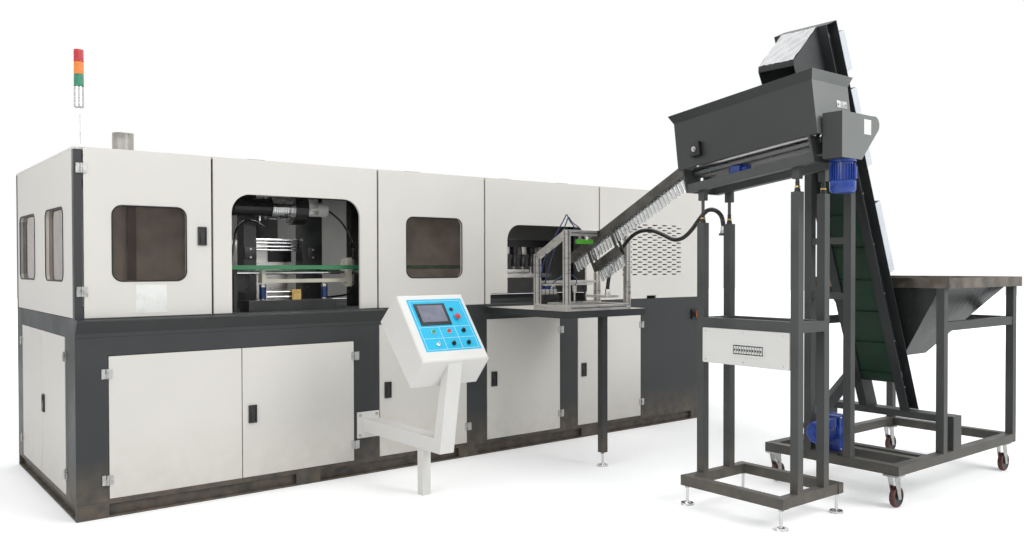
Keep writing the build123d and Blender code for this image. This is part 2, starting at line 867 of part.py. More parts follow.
# Preform sorter: a floor frame, an inclined trough and two counter-rotating rollers
sorter_x = 3190.0
stand_x = 3217.0
sorter_ring = (590.0, 2560.0, 1850.0)
ring_level = (116.0, 176.0)
sorter_tube = 50.0
post_spread = 127.0
low_post_y = 1880.0
high_post_y = 2530.0
low_post_top = 1688.0
high_post_top = 1832.0
shelf_level = (1058.0, 1118.0)
trough_origin = (-2224.0, 2067.5)
trough_lean = 7.0
trough_length = 957.0
trough_width = 350.0
trough_height = 342.0
trough_lip = 52.0
trough_flare = 24.0
trough_wall = 6.0
beam_drop = (92.0, 142.0)
beam_spread = 130.0
beam_ends = (-438.0, 418.0)
roller_radius = 38.0
roller_gap = 30.0
roller_drop = 14.0
journal_radius = 12.0
end_plate = 12.0
exit_slot = (52.0, 110.0)
roller_clear = 4.0
floor_lift = (36.0, 101.0)
clevis = (36.0, 44.0, 62.0)
conduit_rest = (3344.0, 1632.0, 40.0, 14.0)
guard_x = (3050.0, 3420.0)
guard_z = (1990.0, 2232.0)
guard_back = 2705.0

tilt = radians(trough_lean)
sorter_centre = along(sorter_x)
stand_centre = along(stand_x)
trough_up = Vector(0, sin(tilt), cos(tilt))
trough_run = Vector(0, -cos(tilt), sin(tilt))
trough_base = Vector(sorter_centre, inward(trough_origin[0]), trough_origin[1])
trough_plane = Plane(origin=trough_base, x_dir=(1, 0, 0), z_dir=trough_up)
journal_across = roller_radius + roller_gap / 2


def on_trough(across, uphill, lift):
    """A point of the sorter from the middle of the trough's bottom."""
    return trough_base + Vector(across, 0, 0) + trough_run * uphill + trough_up * lift


with BuildPart() as sorter_frame:
    ring_width, ring_near, ring_far = sorter_ring
    for side in (-1, 1):
        edge = stand_centre + side * (ring_width / 2 - sorter_tube / 2)
        post = stand_centre + side * post_spread
        block(
            edge - sorter_tube / 2, edge + sorter_tube / 2, inward(-ring_near), inward(-ring_far),
            *ring_level,
        )
        block(
            post - sorter_tube / 2, post + sorter_tube / 2, inward(-high_post_y), inward(-low_post_y),
            *shelf_level,
        )
        for y, top in ((low_post_y, low_post_top), (high_post_y, high_post_top)):
            block(
                post - sorter_tube / 2, post + sorter_tube / 2, inward(-y) - sorter_tube / 2,
                inward(-y) + sorter_tube / 2, ring_level[0], top,
            )
            levelling_foot(edge, inward(-y), ring_level[0])
            # A threaded rod and a clevis carry the beam above each post
            uphill = (inward(trough_origin[0]) - inward(-y)) / cos(tilt)
            meet = on_trough(0, uphill, -beam_drop[1]).Z
            with BuildSketch(Plane.XY.offset(top)):
                with Locations((post, inward(-y))):
                    RegularPolygon(10, 6)
            extrude(amount=meet - top)
            block(
                post - clevis[0] / 2, post + clevis[0] / 2, inward(-y) - clevis[1] / 2,
                inward(-y) + clevis[1] / 2, meet - clevis[2], meet + 5,
            )
        start = on_trough(side * beam_spread, beam_ends[0], -sum(beam_drop) / 2)
        end = on_trough(side * beam_spread, beam_ends[1], -sum(beam_drop) / 2)
        bar(start, end, sorter_tube, beam_drop[1] - beam_drop[0])
    for y in (low_post_y, high_post_y):
        block(
            stand_centre - ring_width / 2, stand_centre + ring_width / 2,
            inward(-y) - sorter_tube / 2, inward(-y) + sorter_tube / 2, *ring_level,
        )
        block(
            stand_centre - post_spread, stand_centre + post_spread,
            inward(-y) - sorter_tube / 2, inward(-y) + sorter_tube / 2, *shelf_level,
        )
    # End plates hold the beams, the trough and the roller journals; the low one lets preforms pass
    for uphill in (beam_ends[0] - end_plate, beam_ends[1]):
        with BuildSketch(Plane(origin=on_trough(0, uphill, 0), x_dir=(1, 0, 0), z_dir=trough_run)):
            with BuildLine():
                Polyline(
                    (-trough_width / 2, 0),
                    (trough_width / 2, 0),
                    (beam_spread + sorter_tube / 2, -beam_drop[1]),
                    (-beam_spread - sorter_tube / 2, -beam_drop[1]),
                    (-trough_width / 2, 0),
                )
            make_face()
            for side in (-1, 1):
                with Locations((side * journal_across, -roller_drop)):
                    Circle(journal_radius + turn_gap, mode=Mode.SUBTRACT)
            if uphill < 0:
                with Locations((0, -exit_slot[1] / 2)):
                    Rectangle(roller_gap + 8, exit_slot[1] + 1, mode=Mode.SUBTRACT)
        extrude(amount=end_plate)
    # The low bracket of the drive guard, on the high end plate
    plate_out = on_trough(0, beam_ends[1] + end_plate, 0)
    block(
        along(guard_x[0]) + 10, along(guard_x[1]) - 60, inward(-guard_back), plate_out.Y - 4,
        guard_z[0] + 20, guard_z[0] + 28,
    )
    rest_x, rest_z, rest_width, rest_thick = conduit_rest
    block(
        along(rest_x) - rest_width / 2, along(rest_x) + rest_width / 2,
        inward(-low_post_y) + sorter_tube / 2, inward(-low_post_y) + sorter_tube / 2 + rest_width,
        rest_z - rest_thick, rest_z,
    )

with BuildPart() as sorter_trough:
    wall_top = trough_height - trough_lip
    inner = 2 * trough_wall
    with BuildSketch(trough_plane):
        Rectangle(trough_width, trough_length)
        Rectangle(trough_width - inner, trough_length - inner, mode=Mode.SUBTRACT)
    extrude(amount=wall_top)
    with BuildSketch(trough_plane.offset(wall_top)):
        Rectangle(trough_width, trough_length)
    with BuildSketch(trough_plane.offset(trough_height)):
        Rectangle(trough_width + 2 * trough_flare, trough_length + 2 * trough_flare)
    loft()
    with BuildSketch(trough_plane.offset(wall_top)):
        Rectangle(trough_width - inner, trough_length - inner)
    with BuildSketch(trough_plane.offset(trough_height)):
        Rectangle(trough_width + 2 * trough_flare - inner, trough_length + 2 * trough_flare - inner)
    loft(mode=Mode.SUBTRACT)
    with BuildSketch(trough_plane.offset(-1)):
        with Locations((0, trough_length / 2 - trough_wall / 2)):
            Rectangle(exit_slot[0], inner)
    extrude(amount=exit_slot[1], mode=Mode.SUBTRACT)
    # Sloped floor plates lead the preforms down to the rollers
    floor_length = trough_length - inner
    with BuildSketch(Plane(origin=on_trough(0, -floor_length / 2, 0), x_dir=(1, 0, 0), z_dir=trough_run)):
        for side in (-1, 1):
            wall_at = side * (trough_width / 2 - trough_wall)
            edge_at = side * (journal_across + roller_radius + roller_clear)
            with BuildLine():
                Polyline(
                    (wall_at, floor_lift[1]), (wall_at, floor_lift[1] - trough_wall),
                    (edge_at, floor_lift[0] - trough_wall), (edge_at, floor_lift[0]),
                    (wall_at, floor_lift[1]),
                )
            make_face()
    extrude(amount=floor_length)

# Guard over the roller drive at the high end, with a rounded outer end
with BuildPart() as belt_guard:
    with BuildSketch(Plane.XZ.offset(-inward(-guard_back))):
        with BuildLine():
            x0, x1 = along(guard_x[0]), along(guard_x[1])
            z0, z1 = guard_z
            Polyline((x1 - 177, z0), (x0, z0), (x0, z1), (x1 - 60, z1))
            ThreePointArc((x1 - 60, z1), (x1, z1 - 40), (x1 - 20, z0 + 160))
            Line((x1 - 20, z0 + 160), (x1 - 177, z0))
        make_face()
    extrude(amount=guard_reach - guard_back)
save("sorter_trough", sorter_trough, belt_guard)

for number, side in enumerate((-1, 1), start=1):
    across = side * journal_across
    with BuildPart() as roller:
        rod(
            on_trough(across, beam_ends[0] + 8, -roller_drop),
            on_trough(across, beam_ends[1] - 8, -roller_drop), roller_radius, sides=24,
        )
        rod(
            on_trough(across, beam_ends[0] - end_plate - 4, -roller_drop),
            on_trough(across, beam_ends[1] + end_plate + 4, -roller_drop), journal_radius, sides=16,
        )
    save(f"sorter_roller_{number}", roller)

# Gravity chute from the sorter down to the loader, with preforms hanging between its cheeks
chute_start = (-1709.0, 2095.0)
chute_fall = 27.4
chute_length = 1290.0
cheek_height = 66.0
cheek_inside = 18.0
cheek_sheet = 4.0
lip_inside = 12.5
lip_thick = 6.0
strap_spots = (60.0, 650.0, 1230.0)
lower_track = (800.0, 1090.0, 175.0)
fall = radians(chute_fall)
chute_head = Vector(sorter_centre, inward(chute_start[0]), chute_start[1])
chute_run = Vector(0, cos(fall), -sin(fall))
chute_up = Vector(0, sin(fall), cos(fall))


def on_chute(across, down, lift):
    """A point of the chute from the middle of its upper end."""
    return chute_head + Vector(across, 0, 0) + chute_run * down + chute_up * lift


def strip(across, level, start, end):
    """One folded edge of the chute, between two distances across and two levels."""
    with BuildPart() as made:
        with BuildSketch(Plane(origin=on_chute(0, start, 0), x_dir=(1, 0, 0), z_dir=-chute_run)) as section:
            with Locations(((across[0] + across[1]) / 2, sum(level) / 2)):
                Rectangle(abs(across[1] - across[0]), level[1] - level[0])
        extrude(section.sketch, amount=start - end)
    return made


def chute_strap(start, end, width, depth, side=(1, 0, 0)):
    """One flat strap of the chute."""
    with BuildPart() as made:
        bar(start, end, width, depth, side=side)
    return made


cheek_out = cheek_inside + cheek_sheet
infeed_chute = []
for start, end, drop in ((0, chute_length, 0), (lower_track[0], lower_track[1], lower_track[2])):
    foot_level = -drop - cheek_height
    for side in (-1, 1):
        infeed_chute.append(
            strip((side * cheek_inside, side * cheek_out), (foot_level, -drop), start, end)
        )
        infeed_chute.append(
            strip((side * lip_inside, side * cheek_inside), (foot_level, foot_level + lip_thick), start, end)
        )
for spot in strap_spots:
    infeed_chute.append(chute_strap(
        on_chute(-cheek_inside, spot, -4), on_chute(cheek_inside, spot, -4), 30, 8, side=chute_run
    ))
for spot, step in zip(lower_track[:2], (15, -15)):
    for side in (-1, 1):
        infeed_chute.append(chute_strap(
            on_chute(side * (cheek_out + 2), spot + step, -10),
            on_chute(side * (cheek_out + 2), spot + step, -lower_track[2] - cheek_height),
            4, 24,
        ))
# A bracket reaches the loader's front beam beside the chute
beam_y = inward(loader_y[0])
infeed_chute.append(tube(
    along(chute_side_x), sorter_centre - cheek_out, beam_y - half, beam_y + half,
    loader_tops[0][0] - profile, loader_tops[0][0],
))
with BuildPart() as chute_bracket:
    # A wedge under the chute's head stands on the sorter's low end plate
    with BuildSketch(Plane.YZ.offset(sorter_centre - cheek_out)):
        plate_low = on_trough(0, beam_ends[0] - end_plate, -exit_slot[1] - 22)
        plate_high = on_trough(0, beam_ends[0] - end_plate, -exit_slot[1] - 2)
        rail_low = on_chute(0, 90, -cheek_height)
        rail_high = on_chute(0, 50, -cheek_height)
        with BuildLine():
            Polyline(*[(p.Y, p.Z) for p in (plate_low, plate_high, rail_high, rail_low, plate_low)])
        make_face()
    extrude(amount=cheek_out - lip_inside)
    mirror(about=Plane.YZ.offset(sorter_centre))
save("infeed_chute", *infeed_chute, chute_bracket)

preform_pitch = 33.0
preform_radius = 11.0
neck_ring_radius = 16.5
preform_length = 92.0
preform_count = 38
track_count = 8
with BuildPart() as preforms:
    seat = Plane(origin=on_chute(0, 0, lip_thick - cheek_height), x_dir=(1, 0, 0), z_dir=chute_up)
    spots = [(0, 24 + preform_pitch * index) for index in range(preform_count)]
    low_seat = seat.offset(-lower_track[2])
    low_spots = [(0, lower_track[0] + 24 + preform_pitch * index) for index in range(track_count)]
    for plane, row in ((seat, spots), (low_seat, low_spots)):
        with BuildSketch(plane):
            with Locations(*row):
                RegularPolygon(preform_radius, 5)
        extrude(amount=-preform_length)
        with BuildSketch(plane):
            with Locations(*row):
                RegularPolygon(neck_ring_radius, 4, rotation=45)
        extrude(amount=3)
save("preforms", preforms)

# Electrical box between the sorter's posts, under the shelf
breaker_depth = 140.0
breaker_low = 850.0
with BuildPart() as breaker_box:
    box_x = stand_centre - post_spread - sorter_tube / 2 - 12
    block(
        box_x, box_x + breaker_depth, inward(-high_post_y) + sorter_tube / 2 + seat_gap,
        inward(-low_post_y) - sorter_tube / 2 - seat_gap, breaker_low, shelf_level[0],
    )
save("breaker_box", breaker_box)
save("sorter_frame", sorter_frame)

# Elevator: a castered frame, a leaning cleated belt between side channels, a spout and a hopper
elevator_x = (3795.0, 5405.0)
elevator_y = (2740.0, 1827.0)
base_level = (200.0, 258.0)
elevator_tube = 50.0
base_beam = 60.0
inner_rails = (4070.0, 4190.0)
tall_post_x = 3822.0
tall_post_y = (2410.0, 2140.0)
hopper_posts_x = (4371.0, 5380.0)
rim_low = 1284.0
middle_rail = (1018.0, 1074.0)
rest_rail = (4478.0, 4584.0)
rest_rail_deep = 45.0
channel_foot = (4468.0, 472.0)
elevator_lean = 22.8
elevator_length = 2548.0
channel_depth = 120.0
channel_y = (2458.0, 2108.0)
channel_flange_width = 60.0
channel_sheet = 4.0
belt_thick = 4.0
belt_inset = 14.0
tail_at = 223.0
head_at = 2470.0
shaft_radius = 14.0

slope = radians(elevator_lean)
rise = Vector(-sin(slope), 0, cos(slope))
over = Vector(cos(slope), 0, sin(slope))
foot_point = Vector(along(channel_foot[0]), 0, channel_foot[1])


def on_elevator(up, across, y):
    """A point up the elevator and across it from its underside, at one Y."""
    spot = foot_point + rise * up + over * across
    return Vector(spot.X, y, spot.Z)


def underside_z(x):
    """Height of the elevator's underside at an X."""
    return foot_point.Z + (foot_point.X - x) / tan(slope)


run_plane = Plane(origin=(foot_point.X, front, foot_point.Z), x_dir=over, z_dir=rise)
side_plane = Plane(origin=(foot_point.X, 0, foot_point.Z), x_dir=over, z_dir=(0, -1, 0))

ex0, ex1 = along(elevator_x[0]), along(elevator_x[1])
ey0, ey1 = inward(-elevator_y[0]), inward(-elevator_y[1])
elevator_frame = [
    tube(ex0, ex1, y0, y0 + base_beam, *base_level) for y0 in (ey0, ey1 - base_beam)
]
for x0 in (ex0, ex1 - base_beam, along(inner_rails[0]), along(inner_rails[1])):
    elevator_frame.append(
        tube(x0, x0 + base_beam, ey0 + base_beam, ey1 - base_beam, *base_level)
    )
post_x = along(tall_post_x) - elevator_tube / 2
for y in tall_post_y:
    y0 = inward(-y) - elevator_tube / 2
    with BuildPart() as tall_post:
        with BuildSketch(Plane.XZ.offset(-y0 - elevator_tube)):
            with BuildLine():
                Polyline(
                    (post_x, base_level[1]),
                    (post_x + elevator_tube, base_level[1]),
                    (post_x + elevator_tube, underside_z(post_x + elevator_tube)),
                    (post_x, underside_z(post_x)),
                    (post_x, base_level[1]),
                )
            make_face()
        extrude(amount=elevator_tube)
    elevator_frame.append(tall_post)
for level in (1220.0, 1560.0):
    elevator_frame.append(tube(
        post_x + 5, post_x + 45, inward(-tall_post_y[0]) + elevator_tube / 2,
        inward(-tall_post_y[1]) - elevator_tube / 2, level, level + 40,
    ))
for y0 in (ey0, ey1 - elevator_tube):
    for x in hopper_posts_x:
        x0 = along(x) - elevator_tube / 2
        elevator_frame.append(
            tube(x0, x0 + elevator_tube, y0, y0 + elevator_tube, base_level[1], rim_low)
        )
    elevator_frame.append(tube(
        along(hopper_posts_x[0]) + elevator_tube / 2, along(hopper_posts_x[1]) - elevator_tube / 2,
        y0 + 5, y0 + 45, *middle_rail,
    ))
    elevator_frame.append(tube(
        along(rest_rail[0]), along(rest_rail[1]), y0, y0 + elevator_tube, base_level[1],
        channel_foot[1],
    ))
elevator_frame.append(tube(
    along(hopper_posts_x[1]) - 20, along(hopper_posts_x[1]) + 20, ey0 + elevator_tube,
    ey1 - elevator_tube, *middle_rail,
))
elevator_frame.append(tube(
    along(rest_rail[0]), along(rest_rail[1]), ey0 + elevator_tube, ey1 - elevator_tube,
    channel_foot[1] - rest_rail_deep, channel_foot[1],
))

elevator_casters_x = (3865.0, 5330.0)
elevator_casters_y = (2690.0, 1877.0)
wheel_radius = 62.5
wheel_width = 32.0
fork_gap = 3.0
fork_sheet = 5.0
axle_radius = 8.0
caster_trail = 30.0
fork_half = wheel_width / 2 + fork_gap + fork_sheet


def caster_fork(x, y, trail):
    """A pressed fork under its top plate; the wheel sits back from the plate by the trail."""
    with BuildPart() as fork:
        block(x - 45, x + 45, y - 45, y + 45, base_level[0] - 10, base_level[0])
        for y0 in (y - fork_half, y + fork_half - fork_sheet):
            with BuildSketch(Plane.XZ.offset(-y0 - fork_sheet)):
                with BuildLine():
                    Polyline(
                        (x - 30, base_level[0] - 10),
                        (x + 30, base_level[0] - 10),
                        (x + trail + 14, wheel_radius - 14),
                        (x + trail - 14, wheel_radius - 14),
                        (x - 30, base_level[0] - 10),
                    )
                make_face()
            extrude(amount=fork_sheet)
        rod(
            (x + trail, y - fork_half, wheel_radius), (x + trail, y + fork_half, wheel_radius),
            axle_radius, sides=12,
        )
    return fork


forks = []
for number, (cx, cy) in enumerate(
    [(cx, cy) for cx in elevator_casters_x for cy in elevator_casters_y], start=1
):
    x, y = along(cx) - caster_trail, inward(-cy)
    forks.append(caster_fork(x, y, caster_trail))
    with BuildPart() as caster_wheel:
        with BuildSketch(Plane.XZ.offset(-(y + wheel_width / 2))):
            with Locations((x + caster_trail, wheel_radius)):
                RegularPolygon(wheel_radius, 32, major_radius=True)
                Circle(axle_radius + turn_gap, mode=Mode.SUBTRACT)
        extrude(amount=wheel_width)
    save(f"caster_wheel_{number}", caster_wheel)
save("elevator_frame", *elevator_frame, *forks)

# Side channels open outwards, cut level at the foot, with the spout and guards on the carrying side
spout_near = inward(-channel_y[0]) + channel_flange_width
spout_far = inward(-channel_y[1]) - channel_flange_width
lip_x = 3245.0
lip_z = 2598.0
lip_deep = 33.0
spout_seat = 240.0
spout_back = 60.0
spout_foot = 110.0
guard_runs = ((2240.0, 2480.0), (1640.0, 2130.0), (930.0, 1400.0))
guard_proud = 70.0
with BuildPart() as elevator_casing:
    near, far = inward(-channel_y[0]), inward(-channel_y[1])
    with BuildSketch(run_plane.offset(-2 * channel_depth)):
        for web, flange_middle in (
            (spout_near - channel_sheet / 2, (near + spout_near) / 2),
            (spout_far + channel_sheet / 2, (far + spout_far) / 2),
        ):
            with Locations((channel_depth / 2, web - front)):
                Rectangle(channel_depth, channel_sheet)
            for across in (channel_sheet / 2, channel_depth - channel_sheet / 2):
                with Locations((across, flange_middle - front)):
                    Rectangle(channel_sheet, channel_flange_width)
    extrude(amount=elevator_length + 2 * channel_depth)
    block(
        foot_point.X - channel_depth, foot_point.X + 4 * channel_depth, near - 1, far + 1,
        foot_point.Z - 3 * channel_depth, foot_point.Z, mode=Mode.SUBTRACT,
    )
    with BuildSketch(side_plane.offset(-far)):
        for level in (tail_at, head_at):
            with Locations((channel_depth / 2, level)):
                Circle(shaft_radius + turn_gap)
    extrude(amount=far - near, mode=Mode.SUBTRACT)
    with BuildSketch(run_plane.offset(elevator_length)):
        with Locations((channel_depth / 2, (near + far) / 2 - front)):
            Rectangle(channel_depth, far - near)
    extrude(amount=channel_sheet)
    # The spout slopes out over the trough from the channels' upper end and is open below
    spout_end = on_elevator(elevator_length + channel_sheet, 0, 0)
    inner_end = on_elevator(elevator_length + channel_sheet, channel_sheet, 0)
    under_end = on_elevator(elevator_length - 1, channel_sheet, 0)
    joint_low = on_elevator(elevator_length - spout_seat, 0, 0)
    lip = Vector(along(lip_x), 0, lip_z)
    for y0 in (spout_near, spout_far + channel_sheet):
        with BuildSketch(Plane.XZ.offset(-y0)):
            with BuildLine():
                Polyline(
                    (lip.X, lip.Z), (spout_end.X, spout_end.Z), (joint_low.X, joint_low.Z),
                    (joint_low.X - spout_back, lip.Z - spout_foot), (lip.X + 40, lip.Z - spout_foot),
                    (lip.X, lip.Z - lip_deep), (lip.X, lip.Z),
                )
            make_face()
        extrude(amount=channel_sheet)
    with BuildSketch(Plane.XZ.offset(-spout_far)):
        with BuildLine():
            Polyline(
                (lip.X, lip.Z - lip_deep), (lip.X, lip.Z), (spout_end.X, spout_end.Z),
                (inner_end.X, inner_end.Z), (under_end.X, under_end.Z),
                (lip.X + channel_sheet, lip.Z - 2), (lip.X + channel_sheet, lip.Z - lip_deep),
                (lip.X, lip.Z - lip_deep),
            )
        make_face()
    extrude(amount=spout_far - spout_near)
with BuildPart() as carry_guards:
    for low, high in guard_runs:
        with BuildSketch(run_plane.offset(low)):
            with Locations((channel_depth + guard_proud / 2, (near + far) / 2 - front)):
                Rectangle(guard_proud, far - near - 10)
            with Locations((channel_depth + guard_proud / 2 - 3, (near + far) / 2 - front)):
                Rectangle(guard_proud, far - near - 16, mode=Mode.SUBTRACT)
        extrude(amount=high - low)
save("elevator_casing", elevator_casing, carry_guards)

# Belt loop with cleats, round a head drum and a tail drum
belt_outer = channel_depth / 2 - belt_inset
drum_radius = belt_outer - belt_thick - turn_gap
belt_side_gap = 3.0
cleat_pitch = 222.0
cleat_height = 11.0
belt_near = spout_near + belt_side_gap
belt_far = spout_far - belt_side_gap
with BuildPart() as elevator_belt:
    with BuildSketch(side_plane.offset(-belt_far)):
        with Locations((channel_depth / 2, (tail_at + head_at) / 2)):
            SlotCenterToCenter(head_at - tail_at, 2 * belt_outer, rotation=90)
            SlotCenterToCenter(
                head_at - tail_at, 2 * (belt_outer - belt_thick), rotation=90, mode=Mode.SUBTRACT
            )
        cleat_levels = [tail_at + 40 + cleat_pitch * k for k in range(10)]
        edges = (belt_inset - cleat_height / 2 + 0.5, channel_depth - belt_inset + cleat_height / 2 - 0.5)
        with Locations(*[(edge, level) for edge in edges for level in cleat_levels]):
            Rectangle(cleat_height + 1, 6)
    extrude(amount=belt_far - belt_near)
save("elevator_belt", elevator_belt)

shaft_reach = 20.0
for node, level in (("tail_drum", tail_at), ("head_drum", head_at)):
    with BuildPart() as drum:
        middle = channel_depth / 2
        rod(
            on_elevator(level, middle, belt_near + 1), on_elevator(level, middle, belt_far - 1),
            drum_radius, sides=24,
        )
        rod(
            on_elevator(level, middle, spout_near - shaft_reach),
            on_elevator(level, middle, spout_far + shaft_reach), shaft_radius, sides=16,
        )
    save(node, drum)

# Hopper: a rim skirt on the posts over a funnel that narrows to the belt
rim_x = (4345.0, body_length + hinge_reach + knuckle_radius * cos(pi / 8))
rim_y = (2770.0, 1800.0)
rim_top = 1350.0
hopper_sheet = 4.0
throat_x = (4510.0, 4812.0)
throat_z = 830.0
post_clear = 4.0
funnel_x = (along(hopper_posts_x[0]) + elevator_tube / 2 + post_clear,
            along(hopper_posts_x[1]) - elevator_tube / 2 - post_clear)
funnel_y = (ey0 + elevator_tube + post_clear, ey1 - elevator_tube - post_clear)


def flat(x_range, y_range, inset=0.0, mode=Mode.ADD):
    """A rectangle between two ranges."""
    with Locations((sum(x_range) / 2, sum(y_range) / 2)):
        Rectangle(x_range[1] - x_range[0] - 2 * inset, y_range[1] - y_range[0] - 2 * inset, mode=mode)


with BuildPart() as hopper:
    rim = ((along(rim_x[0]), along(rim_x[1])), (inward(-rim_y[0]), inward(-rim_y[1])))
    throat = ((along(throat_x[0]), along(throat_x[1])), (spout_near, spout_far))
    with BuildSketch(Plane.XY.offset(rim_low)):
        flat(*rim)
        flat(*rim, inset=hopper_sheet, mode=Mode.SUBTRACT)
    extrude(amount=rim_top - rim_low)
    with BuildSketch(Plane.XY.offset(rim_low)):
        flat(*rim)
        flat(funnel_x, funnel_y, inset=hopper_sheet, mode=Mode.SUBTRACT)
    extrude(amount=hopper_sheet)
    with BuildSketch(Plane.XY.offset(rim_low)):
        flat(funnel_x, funnel_y)
    with BuildSketch(Plane.XY.offset(throat_z)):
        flat(*throat)
    loft()
    with BuildSketch(Plane.XY.offset(rim_low)):
        flat(funnel_x, funnel_y, inset=hopper_sheet)
    with BuildSketch(Plane.XY.offset(throat_z)):
        flat(*throat, inset=hopper_sheet)
    loft(mode=Mode.SUBTRACT)
save("hopper", hopper)

# Motors: the sorter's vertical one under its guard, and the elevator's gearmotor on the base
motor_radius = 68.0
sorter_motor = (3172.0, 2750.0)
gearbox = (3856.0, 3966.0, 2330.0, 2180.0, 232.0)
gear_motor_length = 150.0
gear_plate = 12.0
chain_guard_y = (2104.0, 2064.0)
chain_guard_deep = 90.0
with BuildPart() as roller_motor:
    x, y = along(sorter_motor[0]), inward(-sorter_motor[1])
    top = guard_z[0]
    for high, low, radius in (
        (0, 12, motor_radius), (12, 114, motor_radius - 6), (114, 178, motor_radius)
    ):
        rod((x, y, top - low), (x, y, top - high), radius, sides=14)
    block(x + 20, x + 88, y - 36, y + 36, top - 96, top - 28)
with BuildPart() as belt_gearmotor:
    gx0, gx1 = along(gearbox[0]), along(gearbox[1])
    gy0, gy1 = inward(-gearbox[2]), inward(-gearbox[3])
    base = base_level[1]
    block(ex0, gx1 + 30, gy0 - 20, gy1 + 10, base, base + gear_plate)
    block(gx0, gx1, gy0, gy1, base + gear_plate, base + gearbox[4])
    axis_z = base + gearbox[4] / 2 + 20
    axis_y = (gy0 + gy1) / 2
    rod((gx0 - gear_motor_length, axis_y, axis_z), (gx0, axis_y, axis_z), motor_radius + 4, sides=14)
    rod(((gx0 + gx1) / 2, gy1, axis_z), ((gx0 + gx1) / 2, inward(-chain_guard_y[0]), axis_z), 15, sides=12)
with BuildPart() as chain_guard:
    start = Vector((gx0 + gx1) / 2, inward(-sum(chain_guard_y) / 2), axis_z)
    end = on_elevator(tail_at, channel_depth / 2, start.Y)
    bar(start, end, chain_guard_y[0] - chain_guard_y[1], chain_guard_deep, side=(0, 1, 0))
save("drive_motors", roller_motor, belt_gearmotor, chain_guard)

# Press in the blow station: columns under a crown, a drive barrel, chrome shaft, cylinders and rails
crown = (1000.0, 1800.0, 515.0, 1450.0, cover_top - 140, cover_top - 95)
press_columns_x = ((1150.0, 1240.0), (1580.0, 1730.0))
press_columns_y = (480.0, 1270.0)
column_deep = 120.0
press_deck = (1051.0, 1668.0, 140.0, 300.0, 1206.0)
shaft_line = (240.0, 1390.0, 15.0)
shaft_ends = (990.0, 1950.0)
shaft_bracket = 24.0
barrel_axis = (400.0, cover_top - 255)
barrel_parts = (
    (1040.0, 1300.0, 60.0), (1300.0, 1425.0, 76.0), (1425.0, 1445.0, 88.0), (1445.0, 1545.0, 112.0),
    (1545.0, 1720.0, 50.0),
)
saddle = (1160.0, 1230.0, 30.0)
rail_x = (1315.0, 1495.0)
rail_top = 1167.0
rail_y = (610.0, 1260.0)
guide_x = (1310.0, 1500.0)
guide_y = 950.0
guide_radius = 12.0
shaft_y, shaft_z, shaft_r = shaft_line
press_frame = [
    tube(along(x0), along(x1), inward(y0), inward(y0 + column_deep), base_top, crown[4])
    for x0, x1 in press_columns_x for y0 in press_columns_y
]
press_frame.append(
    tube(along(crown[0]), along(crown[1]), inward(crown[2]), inward(crown[3]), crown[4], crown[5])
)
for x in crown[:2]:
    press_frame.append(tube(
        along(x) - 30, along(x) + 30, inward(crown[2]) + 60, inward(crown[2]) + 120,
        crown[5], cover_top,
    ))
press_frame.append(tube(
    along(press_deck[0]), along(press_deck[1]), inward(press_deck[2]), inward(press_deck[3]),
    base_top, press_deck[4],
))
for x in shaft_ends:
    press_frame.append(tube(
        along(x) - shaft_bracket / 2, along(x) + shaft_bracket / 2, inward(shaft_y) - 30,
        inward(shaft_y) + 30, base_top, shaft_z + 30,
    ))
press_frame.append(round_tube(
    (along(shaft_ends[0]) + shaft_bracket / 2, inward(shaft_y), shaft_z),
    (along(shaft_ends[1]) - shaft_bracket / 2, inward(shaft_y), shaft_z), shaft_r, sides=12,
))
for x in (1184.0, 1628.0):
    press_frame.append(round_tube(
        (along(x), inward(shaft_y), press_deck[4]), (along(x), inward(shaft_y), 1312), 21, sides=12
    ))
press_frame.append(tube(along(1385), along(1450), inward(225), inward(285), press_deck[4], 1272))
for z in (1224.0, 1258.0):
    press_frame.append(round_tube(
        (along(1212), inward(255), z), (along(1385), inward(255), z), 8, sides=8
    ))
press_frame.append(tube(along(1204), along(1212), inward(235), inward(275), press_deck[4], 1272))
with BuildPart() as drive_barrel:
    barrel_y, barrel_z = inward(barrel_axis[0]), barrel_axis[1]
    for x0, x1, radius in barrel_parts:
        rod((along(x0), barrel_y, barrel_z), (along(x1), barrel_y, barrel_z), radius, sides=16)
    block(
        along(saddle[0]), along(saddle[1]), barrel_y, inward(press_columns_y[0]),
        barrel_z - saddle[2], barrel_z + saddle[2],
    )
for x in rail_x:
    press_frame.append(
        tube(along(x) - 15, along(x) + 15, inward(rail_y[0]), inward(rail_y[1]), base_top, rail_top)
    )
for x in guide_x:
    press_frame.append(round_tube(
        (along(x), inward(guide_y), 1780), (along(x), inward(guide_y), crown[4]), guide_radius,
        sides=12,
    ))
bottle_guide = (150.0, 172.0, 1409.0, 1437.0)
press_frame.append(
    tube(along(900), along(2820), inward(bottle_guide[0]), inward(bottle_guide[1]), *bottle_guide[2:])
)
for x in (920.0, 2000.0, 2790.0):
    press_frame.append(tube(
        along(x) - 10, along(x) + 10, inward(bottle_guide[1]), inward(200), base_top, bottle_guide[3]
    ))
